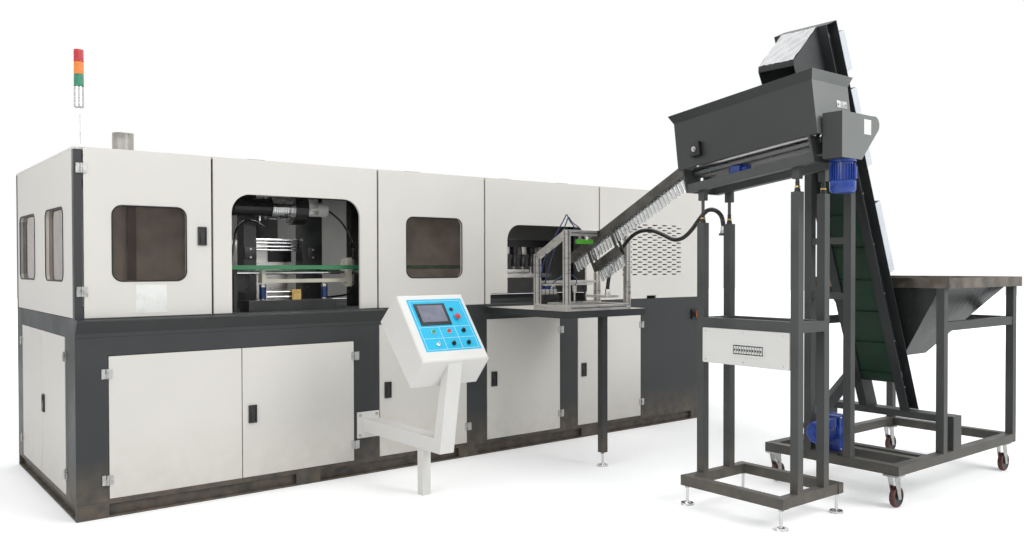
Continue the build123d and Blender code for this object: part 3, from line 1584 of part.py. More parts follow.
# The feed rail stands on the bed behind the infeed opening, with its bar of holders above
feed_rail = (3040.0, 3880.0, 430.0, 500.0, 1330.0, 1366.0)
feed_bar = (1590.0, 1650.0)
feed_posts_x = (3080.0, 3840.0)
for x in feed_posts_x:
    press_frame.append(tube(
        along(x) - 25, along(x) + 25, inward(feed_rail[3]), inward(feed_rail[3]) + 40, base_top,
        feed_bar[1],
    ))
press_frame.append(tube(
    along(feed_rail[0]), along(feed_rail[1]), inward(feed_rail[2]), inward(feed_rail[3]),
    *feed_rail[4:],
))
press_frame.append(tube(
    along(feed_rail[0]), along(feed_rail[1]), inward(feed_rail[2]), inward(feed_rail[3]), *feed_bar
))
save("press_frame", *press_frame, drive_barrel)

# Mould halves on the rails, the stretch unit on its guides, the transfer carriage on the shaft
platen = (1250.0, 1560.0, 60.0, 1625.0)
mould = (1300.0, 1510.0, 100.0, 1300.0, 1600.0)
clamp_open = (700.0, 1200.0)
for node, start, inner_side in (("clamp_front", clamp_open[0], 1), ("clamp_rear", clamp_open[1], -1)):
    with BuildPart() as clamp:
        y0 = inward(start)
        y1 = y0 + inner_side * platen[2]
        y2 = y1 + inner_side * mould[2]
        block(along(platen[0]), along(platen[1]), min(y0, y1), max(y0, y1), rail_top + turn_gap, platen[3])
        block(along(mould[0]), along(mould[1]), min(y1, y2), max(y1, y2), mould[3], mould[4])
        block(
            along(mould[0]), along(mould[1]), min(y1, y2), max(y1, y2), rail_top + turn_gap,
            rail_top + 30,
        )
    save(node, clamp)

stretch_low = 1830.0
with BuildPart() as stretch_unit:
    with BuildSketch(Plane.XY.offset(stretch_low)):
        with Locations((along(sum(guide_x) / 2), inward(guide_y))):
            Rectangle(guide_x[1] - guide_x[0] + 60, 90)
        for x in guide_x:
            with Locations((along(x), inward(guide_y))):
                Circle(guide_radius + turn_gap, mode=Mode.SUBTRACT)
    extrude(amount=22)
    for x in (1355.0, 1405.0, 1455.0):
        with BuildSketch(Plane.XY.offset(stretch_low - 65)):
            with Locations((along(x), inward(guide_y))):
                RegularPolygon(7, 8)
        extrude(amount=65)
save("stretch_unit", stretch_unit)

carriage = (1166.0, 1190.0, 1790.0, 1822.0)
carriage_y = (204.0, 270.0)
carriage_bar = (204.0, 222.0, 1320.0, 1345.0)
with BuildPart() as transfer_carriage:
    block(along(carriage[0]), along(carriage[1]), inward(carriage_y[0]), inward(carriage_y[1]), 1320, 1424)
    block(along(carriage[2]), along(carriage[3]), inward(carriage_y[0]), inward(carriage_y[1]), 1288, 1490)
    block(
        along(carriage[1]), along(carriage[2]), inward(carriage_bar[0]), inward(carriage_bar[1]),
        *carriage_bar[2:],
    )
    rod(
        (along(carriage[0]) - 1, inward(shaft_y), shaft_z),
        (along(carriage[3]) + 1, inward(shaft_y), shaft_z), shaft_r + turn_gap, mode=Mode.SUBTRACT,
    )
save("transfer_carriage", transfer_carriage)

# Cable conduit from the sorter's post to the loader's shelf
conduit_radius = 14.0
conduit_sides = 6
conduit_route = [
    (conduit_rest[0], -1835.0, conduit_rest[1]),
    (conduit_rest[0], -1835.0, 1716.0),
    (3344.0, -1800.0, 1767.0),
    (3344.0, -1743.0, 1790.0),
    (3344.0, -1684.0, 1776.0),
    (3344.0, -1548.0, 1624.0),
    (3344.0, -1440.0, 1592.0),
    (3344.0, -1335.0, 1638.0),
    (3344.0, -1225.0, 1676.0),
    (3344.0, -1095.0, 1668.0),
    (3350.0, -985.0, 1600.0),
    (3362.0, -880.0, 1480.0),
    (3385.0, -762.0, 1345.0),
    (3385.0, -762.0, valve_shelf[2]),
]
points = [Vector(along(x), inward(y), z) for x, y, z in conduit_route]
runs = [(b - a).length for a, b in zip(points, points[1:])]
radii = []
for index in range(1, len(points) - 1):
    turn = radians((points[index] - points[index - 1]).get_angle(points[index + 1] - points[index]))
    radii.append(0.45 * min(runs[index - 1], runs[index]) / tan(turn / 2))
print("conduit bend radii", [round(radius) for radius in radii])
with BuildPart() as cable_conduit:
    with BuildLine() as route:
        FilletPolyline(*points, radius=radii)
    with BuildSketch(Plane(origin=route.line @ 0, z_dir=route.line % 0)):
        RegularPolygon(conduit_radius, conduit_sides)
    sweep()
conduit_area = conduit_sides / 2 * conduit_radius**2 * sin(2 * pi / conduit_sides)
print("conduit volume ratio", round(
    cable_conduit.part.volume / (conduit_area * sum(edge.length for edge in route.edges())), 4
))
save("cable_conduit", cable_conduit)
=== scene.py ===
"""Looks of the blow moulding line: materials for the CAD nodes and detailed pieces that ride on them."""

from math import cos, pi, radians, sin

import bmesh
import bpy
from mathutils import Matrix, Vector


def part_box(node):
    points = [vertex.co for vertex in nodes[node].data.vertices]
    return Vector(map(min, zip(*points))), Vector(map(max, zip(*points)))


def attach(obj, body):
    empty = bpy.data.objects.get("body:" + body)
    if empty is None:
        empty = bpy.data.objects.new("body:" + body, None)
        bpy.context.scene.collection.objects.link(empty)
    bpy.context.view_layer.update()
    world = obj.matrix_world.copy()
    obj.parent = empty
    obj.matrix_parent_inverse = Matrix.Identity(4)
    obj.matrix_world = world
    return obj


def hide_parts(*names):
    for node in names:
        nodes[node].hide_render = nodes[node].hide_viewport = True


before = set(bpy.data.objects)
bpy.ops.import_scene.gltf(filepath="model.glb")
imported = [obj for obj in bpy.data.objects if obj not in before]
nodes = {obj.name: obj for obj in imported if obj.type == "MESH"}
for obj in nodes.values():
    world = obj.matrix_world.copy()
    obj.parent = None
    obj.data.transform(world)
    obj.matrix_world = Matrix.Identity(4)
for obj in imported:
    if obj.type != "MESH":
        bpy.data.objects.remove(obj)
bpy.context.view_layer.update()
scene = bpy.context.scene


def X(v):
    """Metres along the row's X from millimetres right of the machine's left end."""
    return (v - 2700) / 1000


def Y(v):
    """Metres along the row's Y from millimetres behind the machine's front plane."""
    return (v + 484.5) / 1000


def at(x, y, z):
    return Vector((X(x), Y(y), z / 1000))


to_left, to_right = Vector((-1, 0, 0)), Vector((1, 0, 0))
to_front, to_back = Vector((0, -1, 0)), Vector((0, 1, 0))
to_floor, to_top = Vector((0, 0, -1)), Vector((0, 0, 1))


def add_object(name, data):
    made = bpy.data.objects.new(name, data)
    scene.collection.objects.link(made)
    return made


def add_node(tree, kind):
    return tree.nodes.new("ShaderNode" + kind)


def axes_at(first, second, third, origin):
    """A matrix from its three axes and its origin."""
    matrix = Matrix((first, second, third)).transposed().to_4x4()
    matrix.translation = origin
    return matrix


# Camera at the photograph's place, with its focal length in the photograph's pixels
focal_length, photo_width, sensor_width = 863.95, 1024, 36
yaw, pitch, roll = radians(51.64), radians(-0.83), radians(-0.11)
ahead = Vector((cos(yaw) * cos(pitch), sin(yaw) * cos(pitch), sin(pitch)))
side = Vector((sin(yaw), -cos(yaw), 0))
upward = side.cross(ahead)
side_rolled = side * cos(roll) + upward * sin(roll)
upward_rolled = upward * cos(roll) - side * sin(roll)
camera = add_object("camera", bpy.data.cameras.new("camera"))
camera.data.lens = focal_length / photo_width * sensor_width
camera.data.sensor_width = sensor_width
camera.data.clip_end = 200
camera.matrix_world = axes_at(side_rolled, upward_rolled, -ahead, at(-1071.0, -5270.6, 1429.1))
scene.camera = camera


# Material library
def new_material(name):
    """A material with its nodes, its shader and the coordinates of object space."""
    material = bpy.data.materials.new(name)
    material.use_nodes = True
    tree = material.node_tree
    tree.nodes.clear()
    out = add_node(tree, "OutputMaterial")
    shader = add_node(tree, "BsdfPrincipled")
    tree.links.new(shader.outputs[0], out.inputs[0])
    return material, tree, shader, add_node(tree, "TexCoord").outputs["Object"]


def set_inputs(node, values):
    """Sets plain values on a node's sockets by their names."""
    for socket, value in values.items():
        node.inputs[socket].default_value = value


def noise(tree, place, scale, detail=3.0, stretch=None):
    """A noise in object space, stretched along the axes where wanted."""
    source = place
    if stretch:
        mapping = add_node(tree, "Mapping")
        mapping.inputs["Scale"].default_value = stretch
        tree.links.new(place, mapping.inputs[0])
        source = mapping.outputs[0]
    texture = add_node(tree, "TexNoise")
    set_inputs(texture, {"Scale": scale, "Detail": detail})
    tree.links.new(source, texture.inputs["Vector"])
    return texture.outputs["Fac"]


def ramp(tree, source, low, high, start, end):
    """Maps a value between two limits to another span, clamped."""
    node = add_node(tree, "MapRange")
    set_inputs(node, {"From Min": low, "From Max": high, "To Min": start, "To Max": end})
    tree.links.new(source, node.inputs["Value"])
    return node.outputs[0]


def combine(tree, operation, first, second):
    """Joins two values by a math operation."""
    node = add_node(tree, "Math")
    node.operation = operation
    tree.links.new(first, node.inputs[0])
    tree.links.new(second, node.inputs[1])
    return node.outputs[0]


def blend_colour(tree, factor, first, second):
    """Mixes two colours, each a socket or a plain colour."""
    node = add_node(tree, "Mix")
    node.data_type = "RGBA"
    for value, socket in ((first, node.inputs[6]), (second, node.inputs[7])):
        if isinstance(value, tuple):
            socket.default_value = (*value[:3], 1)
        else:
            tree.links.new(value, socket)
    tree.links.new(factor, node.inputs[0])
    return node.outputs[2]


rust = (0.16, 0.1, 0.06)


def finish(name, colour, rough, metal=0.0, vary=0.07, patch=20, grain=500, bump=0.02, stretch=None,
           dust=None, coat=0.0, glow=0.0, rough_span=0.12, spots=0.0):
    """One procedural finish: patchy tone, fine grain in bump and gloss, and dust or rust low down."""
    material, tree, shader, place = new_material(name)
    broad = noise(tree, place, patch, 4.0, stretch)
    darker = tuple(c * (1 - 2.2 * vary) for c in colour)
    tone = blend_colour(tree, ramp(tree, broad, 0.35, 0.65, 0, 1), darker, colour)
    if spots:
        fleck = noise(tree, place, 60.0, 6.0)
        tone = blend_colour(tree, ramp(tree, fleck, 0.62, 0.72, 0, spots), tone, rust)
    if dust:
        low, high, dust_colour, amount = dust
        split = add_node(tree, "SeparateXYZ")
        tree.links.new(place, split.inputs[0])
        height = ramp(tree, split.outputs[2], low, high, amount, 0)
        grit = ramp(tree, noise(tree, place, 14.0, 6.0), 0.3, 0.7, 0.2, 1)
        tone = blend_colour(tree, combine(tree, "MULTIPLY", height, grit), tone, dust_colour)
    tree.links.new(tone, shader.inputs["Base Color"])
    fine = noise(tree, place, grain, 2.0, stretch)
    tree.links.new(
        ramp(tree, broad, 0.3, 0.7, max(rough - rough_span, 0.03), min(rough + rough_span, 1)),
        shader.inputs["Roughness"],
    )
    set_inputs(shader, {"Metallic": metal, "Coat Weight": coat})
    if glow:
        set_inputs(shader, {"Emission Color": (*colour, 1), "Emission Strength": glow})
    if bump:
        relief = add_node(tree, "Bump")
        set_inputs(relief, {"Strength": bump, "Distance": 0.002})
        tree.links.new(fine, relief.inputs["Height"])
        tree.links.new(relief.outputs[0], shader.inputs["Normal"])
    return material


white = finish("warm_white_coat", (0.66, 0.64, 0.595), 0.42, vary=0.025, patch=1.3, grain=900, bump=0.05,
               dust=(0.1, 0.5, (0.45, 0.4, 0.32), 0.3))
floor_coat = dict(rough=0.48, vary=0.1, grain=700, bump=0.1, dust=(0.05, 0.35, (0.2, 0.15, 0.1), 0.55))
slate = finish("slate_coat", (0.028, 0.031, 0.032), patch=2.5, **floor_coat)
slate_light = finish("slate_light_coat", (0.06, 0.064, 0.061), patch=3.5, **floor_coat)
trough_grey = finish("trough_coat", (0.03, 0.032, 0.031), 0.4, vary=0.06, patch=2.0, grain=800, bump=0.06)
# A lighter copy of the trough's grey for its faces towards the front: painted light on the side the light
# falls on
trough_front_lit_grey = finish("trough_front_lit_coat", (0.16, 0.17, 0.165), 0.4, vary=0.05, patch=2.0, grain=800, bump=0.06)
console_coat = finish("console_coat", (0.72, 0.71, 0.685), 0.38, vary=0.02, patch=2.0, grain=900, bump=0.04)
inner_dark = finish("inner_dark", (0.018, 0.019, 0.02), 0.6, vary=0.2, patch=5.0)
rubber = finish("black_rubber", (0.012, 0.012, 0.012), 0.6, vary=0.2, grain=900, bump=0.1)
black_plastic = finish("black_plastic", (0.016, 0.016, 0.017), 0.35, vary=0.15, patch=30, bump=0.05)
zinc = finish("zinc", (0.56, 0.56, 0.55), 0.32, 1.0, vary=0.12, patch=30, grain=260, bump=0.08, spots=0.15)
brushed = dict(patch=12, grain=90, bump=0.06, stretch=(1, 1, 14))
steel = finish("ground_steel", (0.62, 0.61, 0.6), 0.28, 1.0, vary=0.06, **brushed)
worn_steel = finish("worn_steel", (0.24, 0.24, 0.235), 0.36, 0.9, vary=0.12, **brushed)
chrome = finish("chrome", (0.8, 0.8, 0.81), 0.08, 1.0, vary=0.02, bump=0.0, rough_span=0.04)
aluminium = finish("anodised", (0.66, 0.64, 0.61), 0.36, 0.85, vary=0.05, patch=8, grain=120, bump=0.05,
                   stretch=(1, 1, 10))
sheet_steel = finish("stub_sheet", (0.5, 0.48, 0.45), 0.32, 0.9, vary=0.1, patch=10, grain=160, bump=0.06)
chute_sheet = finish("chute_sheet", (0.12, 0.115, 0.105), 0.3, 0.7, vary=0.14, patch=10, grain=160,
                     bump=0.08)
cream = finish("press_cream", (0.6, 0.57, 0.48), 0.4, vary=0.06, patch=6, bump=0.05)
dark_machine = finish("dark_machine", (0.02, 0.021, 0.022), 0.38, vary=0.15, patch=6, bump=0.1)
inner_light = finish("inner_light", (0.42, 0.42, 0.4), 0.5, vary=0.08, patch=4.0)
# A darker grey for the profile's slots: painted shade that stands for the shade inside the slots
slot_shade = finish("profile_slot_shade", (0.16, 0.155, 0.15), 0.5, 0.4, vary=0.1)
motor_blue = finish("motor_blue", (0.012, 0.055, 0.33), 0.3, vary=0.12, patch=18, grain=300, bump=0.15,
                    coat=0.3)
green_unit = finish("green_unit", (0.1, 0.46, 0.035), 0.35, vary=0.06, patch=6)
green_bar = finish("green_guide", (0.035, 0.2, 0.085), 0.4, vary=0.06, patch=6)
belt_green = finish("belt_green", (0.003, 0.034, 0.014), 0.62, vary=0.18, patch=9, grain=600, bump=0.2)
wheel_tread = finish("wheel_tread", (0.085, 0.022, 0.016), 0.42, vary=0.15, patch=40, grain=400, bump=0.1)
fascia_blue = finish("fascia_blue", (0.012, 0.46, 0.72), 0.3, vary=0.02, patch=4, grain=900)
line_white = finish("line_white", (0.75, 0.86, 0.9), 0.35, vary=0.02, patch=3)
screen = finish("screen_glass", (0.17, 0.18, 0.24), 0.12, vary=0.1, patch=18, bump=0.0, coat=0.5, glow=0.06)
red = finish("signal_red", (0.55, 0.012, 0.016), 0.25, vary=0.06, coat=0.4)
green = finish("signal_green", (0.01, 0.3, 0.13), 0.25, vary=0.06, coat=0.4)
lens = dict(rough=0.18, vary=0.08, patch=60, coat=0.6, glow=0.12)
lens_red = finish("lens_red", (0.5, 0.008, 0.02), **lens)
lens_amber = finish("lens_amber", (0.8, 0.22, 0.015), **lens)
lens_green = finish("lens_green", (0.01, 0.22, 0.12), **lens)
orange = finish("switch_orange", (0.85, 0.24, 0.02), 0.32, vary=0.05)
label_blank = finish("blank_label", (0.72, 0.73, 0.7), 0.35, vary=0.03, bump=0.0)
foil = finish("crinkled_foil", (0.74, 0.74, 0.75), 0.2, 1.0, vary=0.12, patch=14, grain=22, bump=0.9)
pale_guard = finish("pale_guard", (0.58, 0.62, 0.66), 0.25, vary=0.05, patch=5, grain=30, bump=0.1)
film = finish("wrap_film", (0.36, 0.37, 0.38), 0.22, vary=0.18, patch=9, grain=16, bump=1.0, coat=0.4,
              stretch=(1, 3, 1))
conduit_black = finish("conduit_black", (0.01, 0.01, 0.011), 0.35, vary=0.15, grain=220, bump=0.25)
tube_blue = finish("tube_blue", (0.012, 0.035, 0.13), 0.25, vary=0.1)
brass = finish("brass_fitting", (0.6, 0.42, 0.16), 0.3, 1.0, vary=0.08, patch=30)
hopper_steel = finish("hopper_sheet", (0.055, 0.06, 0.06), 0.24, 0.35, vary=0.22, patch=3, grain=9,
                      bump=1.0, stretch=(1, 1, 0.35))
rim_steel = finish("rim_sheet", (0.27, 0.235, 0.2), 0.34, 0.9, vary=0.25, patch=9, grain=160, bump=0.1,
                   spots=0.5)


def see_through(name, colour, rough, ior, weight):
    """Smoked acrylic or clear moulded plastic."""
    material, tree, shader, place = new_material(name)
    broad = noise(tree, place, 9.0, 3.0)
    darker = tuple(c * 0.8 for c in colour)
    tone = blend_colour(tree, ramp(tree, broad, 0.35, 0.65, 0, 1), darker, colour)
    tree.links.new(tone, shader.inputs["Base Color"])
    tree.links.new(ramp(tree, broad, 0.3, 0.7, rough * 0.6, rough * 1.5), shader.inputs["Roughness"])
    set_inputs(shader, {"IOR": ior, "Transmission Weight": weight})
    return material


smoked = see_through("smoked_acrylic", (0.6, 0.5, 0.44), 0.04, 1.2, 0.97)
preform_clear = see_through("clear_preform", (0.74, 0.76, 0.76), 0.08, 1.25, 0.78)


# Geometry helpers
def arc(start, sweep, count):
    """The cosine and sine at even steps along an arc given in degrees."""
    angles = [radians(start + sweep * k / count) for k in range(count + 1)]
    return [(cos(a), sin(a)) for a in angles]


def extrude(part, faces, depth):
    """Extrudes faces by a vector and turns all normals outwards."""
    made = bmesh.ops.extrude_face_region(part, geom=faces)
    for item in made["geom"]:
        if isinstance(item, bmesh.types.BMVert):
            item.co += Vector(depth)
    bmesh.ops.recalc_face_normals(part, faces=part.faces[:])


class Piece:
    """A mesh built up from beveled blocks, lathed forms and prisms, each with its own material."""

    def __init__(self, name, *materials):
        self.name = name
        self.bm = bmesh.new()
        self.materials = materials

    def take(self, part, material):
        mesh = bpy.data.meshes.new("part")
        part.to_mesh(mesh)
        part.free()
        before = len(self.bm.faces)
        self.bm.from_mesh(mesh)
        bpy.data.meshes.remove(mesh)
        self.bm.faces.ensure_lookup_table()
        for face in self.bm.faces[before:]:
            face.material_index = material

    def block(self, low, high, material=0, bevel=0.0012, matrix=None):
        part = bmesh.new()
        bmesh.ops.create_cube(part, size=1)
        low, high = Vector(low), Vector(high)
        for vert in part.verts:
            vert.co = Vector(a + (b - a) * (c + 0.5) for a, b, c in zip(low, high, vert.co))
        if bevel:
            width = min(bevel, min(high - low) * 0.45)
            bmesh.ops.bevel(part, geom=part.edges[:], offset=width, segments=2, affect="EDGES", profile=0.7)
        if matrix:
            part.transform(matrix)
        self.take(part, material)

    def lathe(self, origin, axis, profile, material=0, segments=32):
        """Turns a profile of (along, radius) points about an axis; both ends close where the radius is 0."""
        part = bmesh.new()
        axis = Vector(axis).normalized()
        first = axis.orthogonal().normalized()
        second = axis.cross(first)
        rings = []
        for along, radius in profile:
            centre = Vector(origin) + axis * along
            if radius < 1e-6:
                rings.append([part.verts.new(centre)])
            else:
                rings.append([
                    part.verts.new(centre + (first * cos(a) + second * sin(a)) * radius)
                    for a in (2 * pi * k / segments for k in range(segments))
                ])
        for one, two in zip(rings, rings[1:]):
            for k in range(segments):
                n = (k + 1) % segments
                if len(one) == 1:
                    part.faces.new((one[0], two[n], two[k]))
                elif len(two) == 1:
                    part.faces.new((one[k], one[n], two[0]))
                else:
                    part.faces.new((one[k], one[n], two[n], two[k]))
        bmesh.ops.recalc_face_normals(part, faces=part.faces[:])
        self.take(part, material)

    def prism(self, points, depth, material=0, bevel=0.001):
        """Extrudes a closed outline of points by a vector."""
        part = bmesh.new()
        extrude(part, [part.faces.new([part.verts.new(p) for p in points])], depth)
        if bevel:
            bmesh.ops.bevel(part, geom=part.edges[:], offset=bevel, segments=2, affect="EDGES", profile=0.7)
        self.take(part, material)

    def bolt(self, point, axis, size, material=0):
        """A hexagon head on its washer."""
        washer = ((0, 0), (0, size * 1.15), (size * 0.18, size * 1.1), (size * 0.18, 0))
        head = ((0, size), (size * 0.75, size), (size * 0.95, size * 0.8), (size * 0.95, 0))
        self.lathe(point, axis, washer, material, 20)
        self.lathe(point, axis, head, material, 6)

    def done(self, body, *replaced, angle=35):
        """Makes the object, with edges sharp from an angle, and lets it ride on its body."""
        mesh = bpy.data.meshes.new(self.name)
        self.bm.to_mesh(mesh)
        self.bm.free()
        piece = add_object(self.name, mesh)
        for material in self.materials:
            mesh.materials.append(material)
        mesh.shade_smooth()
        mesh.set_sharp_from_angle(angle=radians(angle))
        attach(piece, body)
        if replaced:
            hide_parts(*replaced)


def shut(*profile):
    """Closes a profile towards the axis at both ends."""
    return ((profile[0][0], 0), *profile, (profile[-1][0], 0))


def steps(*spans):
    """The profile of a stepped round solid, each step given by its end and its radius."""
    profile = []
    start = 0
    for end, radius in spans:
        profile += [(start, radius), (end, radius)]
        start = end
    return shut(*profile)


def pipe(name, points, radius, material, body):
    """A hose or wire along a smooth curve through a route in the machine's own millimetres."""
    data = bpy.data.curves.new(name, "CURVE")
    data.dimensions = "3D"
    data.bevel_depth = radius
    data.bevel_resolution = 4
    data.use_fill_caps = True
    spline = data.splines.new("NURBS")
    spline.points.add(len(points) - 1)
    for target, point in zip(spline.points, points):
        target.co = (*at(*point), 1)
    spline.order_u = 3
    spline.use_endpoint_u = True
    spline.resolution_u = 8
    data.materials.append(material)
    piece = add_object(name, data)
    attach(piece, body)
    return piece


def paint(node, base, *rules, bevel=0.0015):
    """Gives a CAD node its base finish and others where a face's middle and normal meet a rule."""
    piece = nodes[node]
    mesh = piece.data
    mesh.materials.clear()
    mesh.materials.append(base)
    for material, _ in rules:
        mesh.materials.append(material)
    for face in mesh.polygons:
        face.material_index = 0
        for index, (_, rule) in enumerate(rules, start=1):
            if rule(face.center, face.normal):
                face.material_index = index
    if bevel:
        weld = piece.modifiers.new("weld", "WELD")
        weld.merge_threshold = 0.00002
        flat = piece.modifiers.new("flat", "DECIMATE")
        flat.decimate_type = "DISSOLVE"
        flat.angle_limit = radians(1)
        flat.delimit = {"MATERIAL"}
        edge = piece.modifiers.new("edge", "BEVEL")
        edge.width = bevel
        edge.segments = 2
        edge.limit_method = "ANGLE"
        edge.angle_limit = radians(40)
        edge.use_clamp_overlap = True


def within(x0, x1, y0, y1, z0, z1):
    """A rule: the face's middle lies in a box given in the machine's own millimetres."""
    low, high = at(x0, y0, z0), at(x1, y1, z1)
    return lambda c, n: all(a <= v <= b for a, v, b in zip(low, c, high))


# Finishes of the CAD nodes; what stands further out than a door's skin is its hinges and latch
latch_width, latch_height = 52, 112
skin, latch_front = -3.4, -16
facing = 0.9


def latch_rule(left, bottom):
    """The latch of a front door, given by its lower left corner."""
    return within(left - 1, left + latch_width + 1, latch_front, skin, bottom - 1, bottom + latch_height + 1)


def front_hinges(c, n):
    return c.y < Y(skin)


def end_hinges(c, n):
    return c.x < X(skin)


def inside_covers(c, n):
    """The inner faces of the rear, the ends and the roof."""
    rear = n.y < -facing and c.y > Y(1700)
    left_end = n.x > facing and c.x < X(100)
    right_end = n.x < -facing and c.x > X(5300)
    return c.z < 2.09 and (rear or left_end or right_end or n.z < -facing)


for door, corner in (
    ("base_door_1", None), ("base_door_2", (988, 446)), ("base_door_3", (1962, 509)),
    ("base_door_4", (2894, 509)), ("base_door_5", (3832, 509)), ("upper_door", (680, 1557)),
):
    latch = [(black_plastic, latch_rule(*corner))] if corner else []
    paint(door, white, (zinc, front_hinges), *latch)
paint("end_door_rear", white, (zinc, end_hinges))
paint("end_door_front", white, (zinc, end_hinges),
      (black_plastic, within(latch_front, skin, 850, 904, 508, 622)))
for panel in ("blow_station_panel", "window_panel", "infeed_panel"):
    paint(panel, white, (inner_light, lambda c, n: n.y > facing))
paint("outer_covers", white, (inner_light, inside_covers))
for material, bevel, *plain_nodes in (
    (slate, 0.002, "plinth_frame", "base_cabinet", "drip_ledge"),
    (slate, 0.0015, "upper_frame"),
    (smoked, 0, "upper_door_pane", "window_panes"),
    (sheet_steel, 0, "exhaust_stub"),
    (orange, 0.001, "isolator_handle"),
    (console_coat, 0, "console_box"),
    (console_coat, 0.004, "console_arm"),
    (console_coat, 0.006, "breaker_box"),
    (fascia_blue, 0, "console_fascia"),
    (aluminium, 0.002, "loader_frame", "clamp_front", "clamp_rear"),
    (chute_sheet, 0.0008, "infeed_chute"),
    (worn_steel, 0, "sorter_roller_1", "sorter_roller_2"),
    (belt_green, 0, "elevator_belt"),
    (steel, 0, "head_drum", "tail_drum"),
    (steel, 0.0015, "stretch_unit"),
    (cream, 0.002, "transfer_carriage"),
):
    for node in plain_nodes:
        paint(node, material, bevel=bevel)
paint("cabinet_hardware", zinc, (black_plastic, lambda c, n: c.x > X(5200)),
      (slate, lambda c, n: 1.1 < c.z < 1.14 and c.x < X(1900)), bevel=0.0008)
paint("infeed_table", slate, (white, lambda c, n: n.z > facing and c.z > 1.11),
      (chrome, lambda c, n: c.z < 0.1 and c.y < Y(-800)))
paint("sorter_frame", slate_light, (chrome, lambda c, n: c.z < 0.115))
# The trough's faces towards the front take the lighter grey: painted light
paint("sorter_trough", trough_grey, (trough_front_lit_grey, lambda c, n: n.y < -0.5))
paint("elevator_frame", slate_light, (zinc, lambda c, n: c.z < 0.199), bevel=0.002)
lean_belt = radians(22.8)
rise = Vector((-sin(lean_belt), 0, cos(lean_belt)))
over = Vector((cos(lean_belt), 0, sin(lean_belt)))
foot_point = at(4468, 0, 472)
paint("elevator_casing", slate,
      (pale_guard, lambda c, n: (c - foot_point).dot(over) > 0.1215 and (c - foot_point).dot(rise) > 0.6),
      (inner_dark, within(3252, 3560, -2396, -2170, 2440, 2597)), bevel=0.001)
paint("hopper", hopper_steel, (rim_steel, lambda c, n: c.z > 1.285), bevel=0.001)
paint("press_frame", dark_machine, (chrome, within(1003, 1937, 215, 265, 1370, 1410)),
      (green_bar, within(890, 2830, 140, 175, 1405, 1440)),
      (steel, within(1150, 1700, 200, 300, 1207, 1340)),
      (brass, within(1384, 1451, 224, 286, 1207, 1274)),
      (black_plastic, within(1030, 1299, 300, 470, 1740, 1920)),
      (foil, within(1299.5, 1425, 300, 480, 1730, 1920)),
      (steel, within(1425, 1444, 300, 490, 1730, 1930)),
      (black_plastic, within(1444.5, 1545.5, 280, 520, 1700, 1950)),
      (console_coat, within(1546, 1722, 340, 460, 1770, 1890)),
      (aluminium, within(3030, 3890, 425, 505, 1325, 1370)),
      (inner_light, lambda c, n: c.z > 1.93 and n.z < -facing))

# Windows get a rubber edge, and the panels their small fittings
window_bottom, window_top, window_corner = 1346, 1779, 55
seal_depth, seal_width = 0.004, 0.009


def seal_ring(piece, plane, u0, u1):
    """A rounded rubber edge round a window; plane is the matrix of the panel's outer face."""
    left, right = u0 + window_corner, u1 - window_corner
    bottom, top = window_bottom + window_corner, window_top - window_corner
    outline = []
    for cu, cv, start in ((right, top, 0), (left, top, 90), (left, bottom, 180), (right, bottom, 270)):
        outline += [(cu / 1000, cv / 1000, c, s) for c, s in arc(start, 90, 8)]
    part = bmesh.new()
    loops = []
    for share, lift in ((-1 / 2, 0.0), (-1 / 4, seal_depth), (1 / 4, seal_depth), (1 / 2, 0.0)):
        reach = window_corner / 1000 + share * seal_width
        loops.append([
            part.verts.new(plane @ Vector((cu + c * reach, cv + s * reach, lift)))
            for cu, cv, c, s in outline
        ])
    count = len(outline)
    for one, two in zip(loops, loops[1:] + loops[:1]):
        for k in range(count):
            n = (k + 1) % count
            part.faces.new((one[k], one[n], two[n], two[k]))
    bmesh.ops.recalc_face_normals(part, faces=part.faces[:])
    piece.take(part, 0)


front_plane = axes_at(to_right, to_top, to_front, at(0, 0, 0))
door_plane = axes_at(to_right, to_top, to_front, at(0, -3, 0))
end_plane = axes_at(to_back, to_top, to_left, at(0, 0, 0))
door_seal = Piece("door_window_seal", rubber)
seal_ring(door_seal, door_plane, 198, 612)
door_seal.done("upper_door")
seals = Piece("window_seals", rubber)
seal_ring(seals, front_plane, 2147, 2626)
seal_ring(seals, end_plane, 280, 797)
seal_ring(seals, end_plane, 1152, 1708)
seals.done("line")

plates = Piece("roof_hooks", slate)
for x0, x1 in ((1010, 1120), (2160, 2290), (3010, 3120), (3600, 3720)):
    plates.block(at(x0, 40, 2100), at(x1, 64, 2107))
plates.done("line")

# The vent panel with all its rows of slots and the finger notch in its lower edge
low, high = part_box("vent_panel")
notch_left, notch_right, notch_top = X(4626), X(4750), low.z + 0.025
slot_columns, slot_rows = 6, 21
slot_length, slot_radius, field_width = 62, 5.5, 769
slot_pitch, row_pitch = (field_width - slot_length) / (slot_columns - 0.5), 21.9
first_x, first_z = 4317 + slot_length / 2, 1346 + slot_radius
part = bmesh.new()


def closed_loop(points):
    ring = [part.verts.new((x, low.y, z)) for x, z in points]
    for a, b in zip(ring, ring[1:] + ring[:1]):
        part.edges.new((a, b))


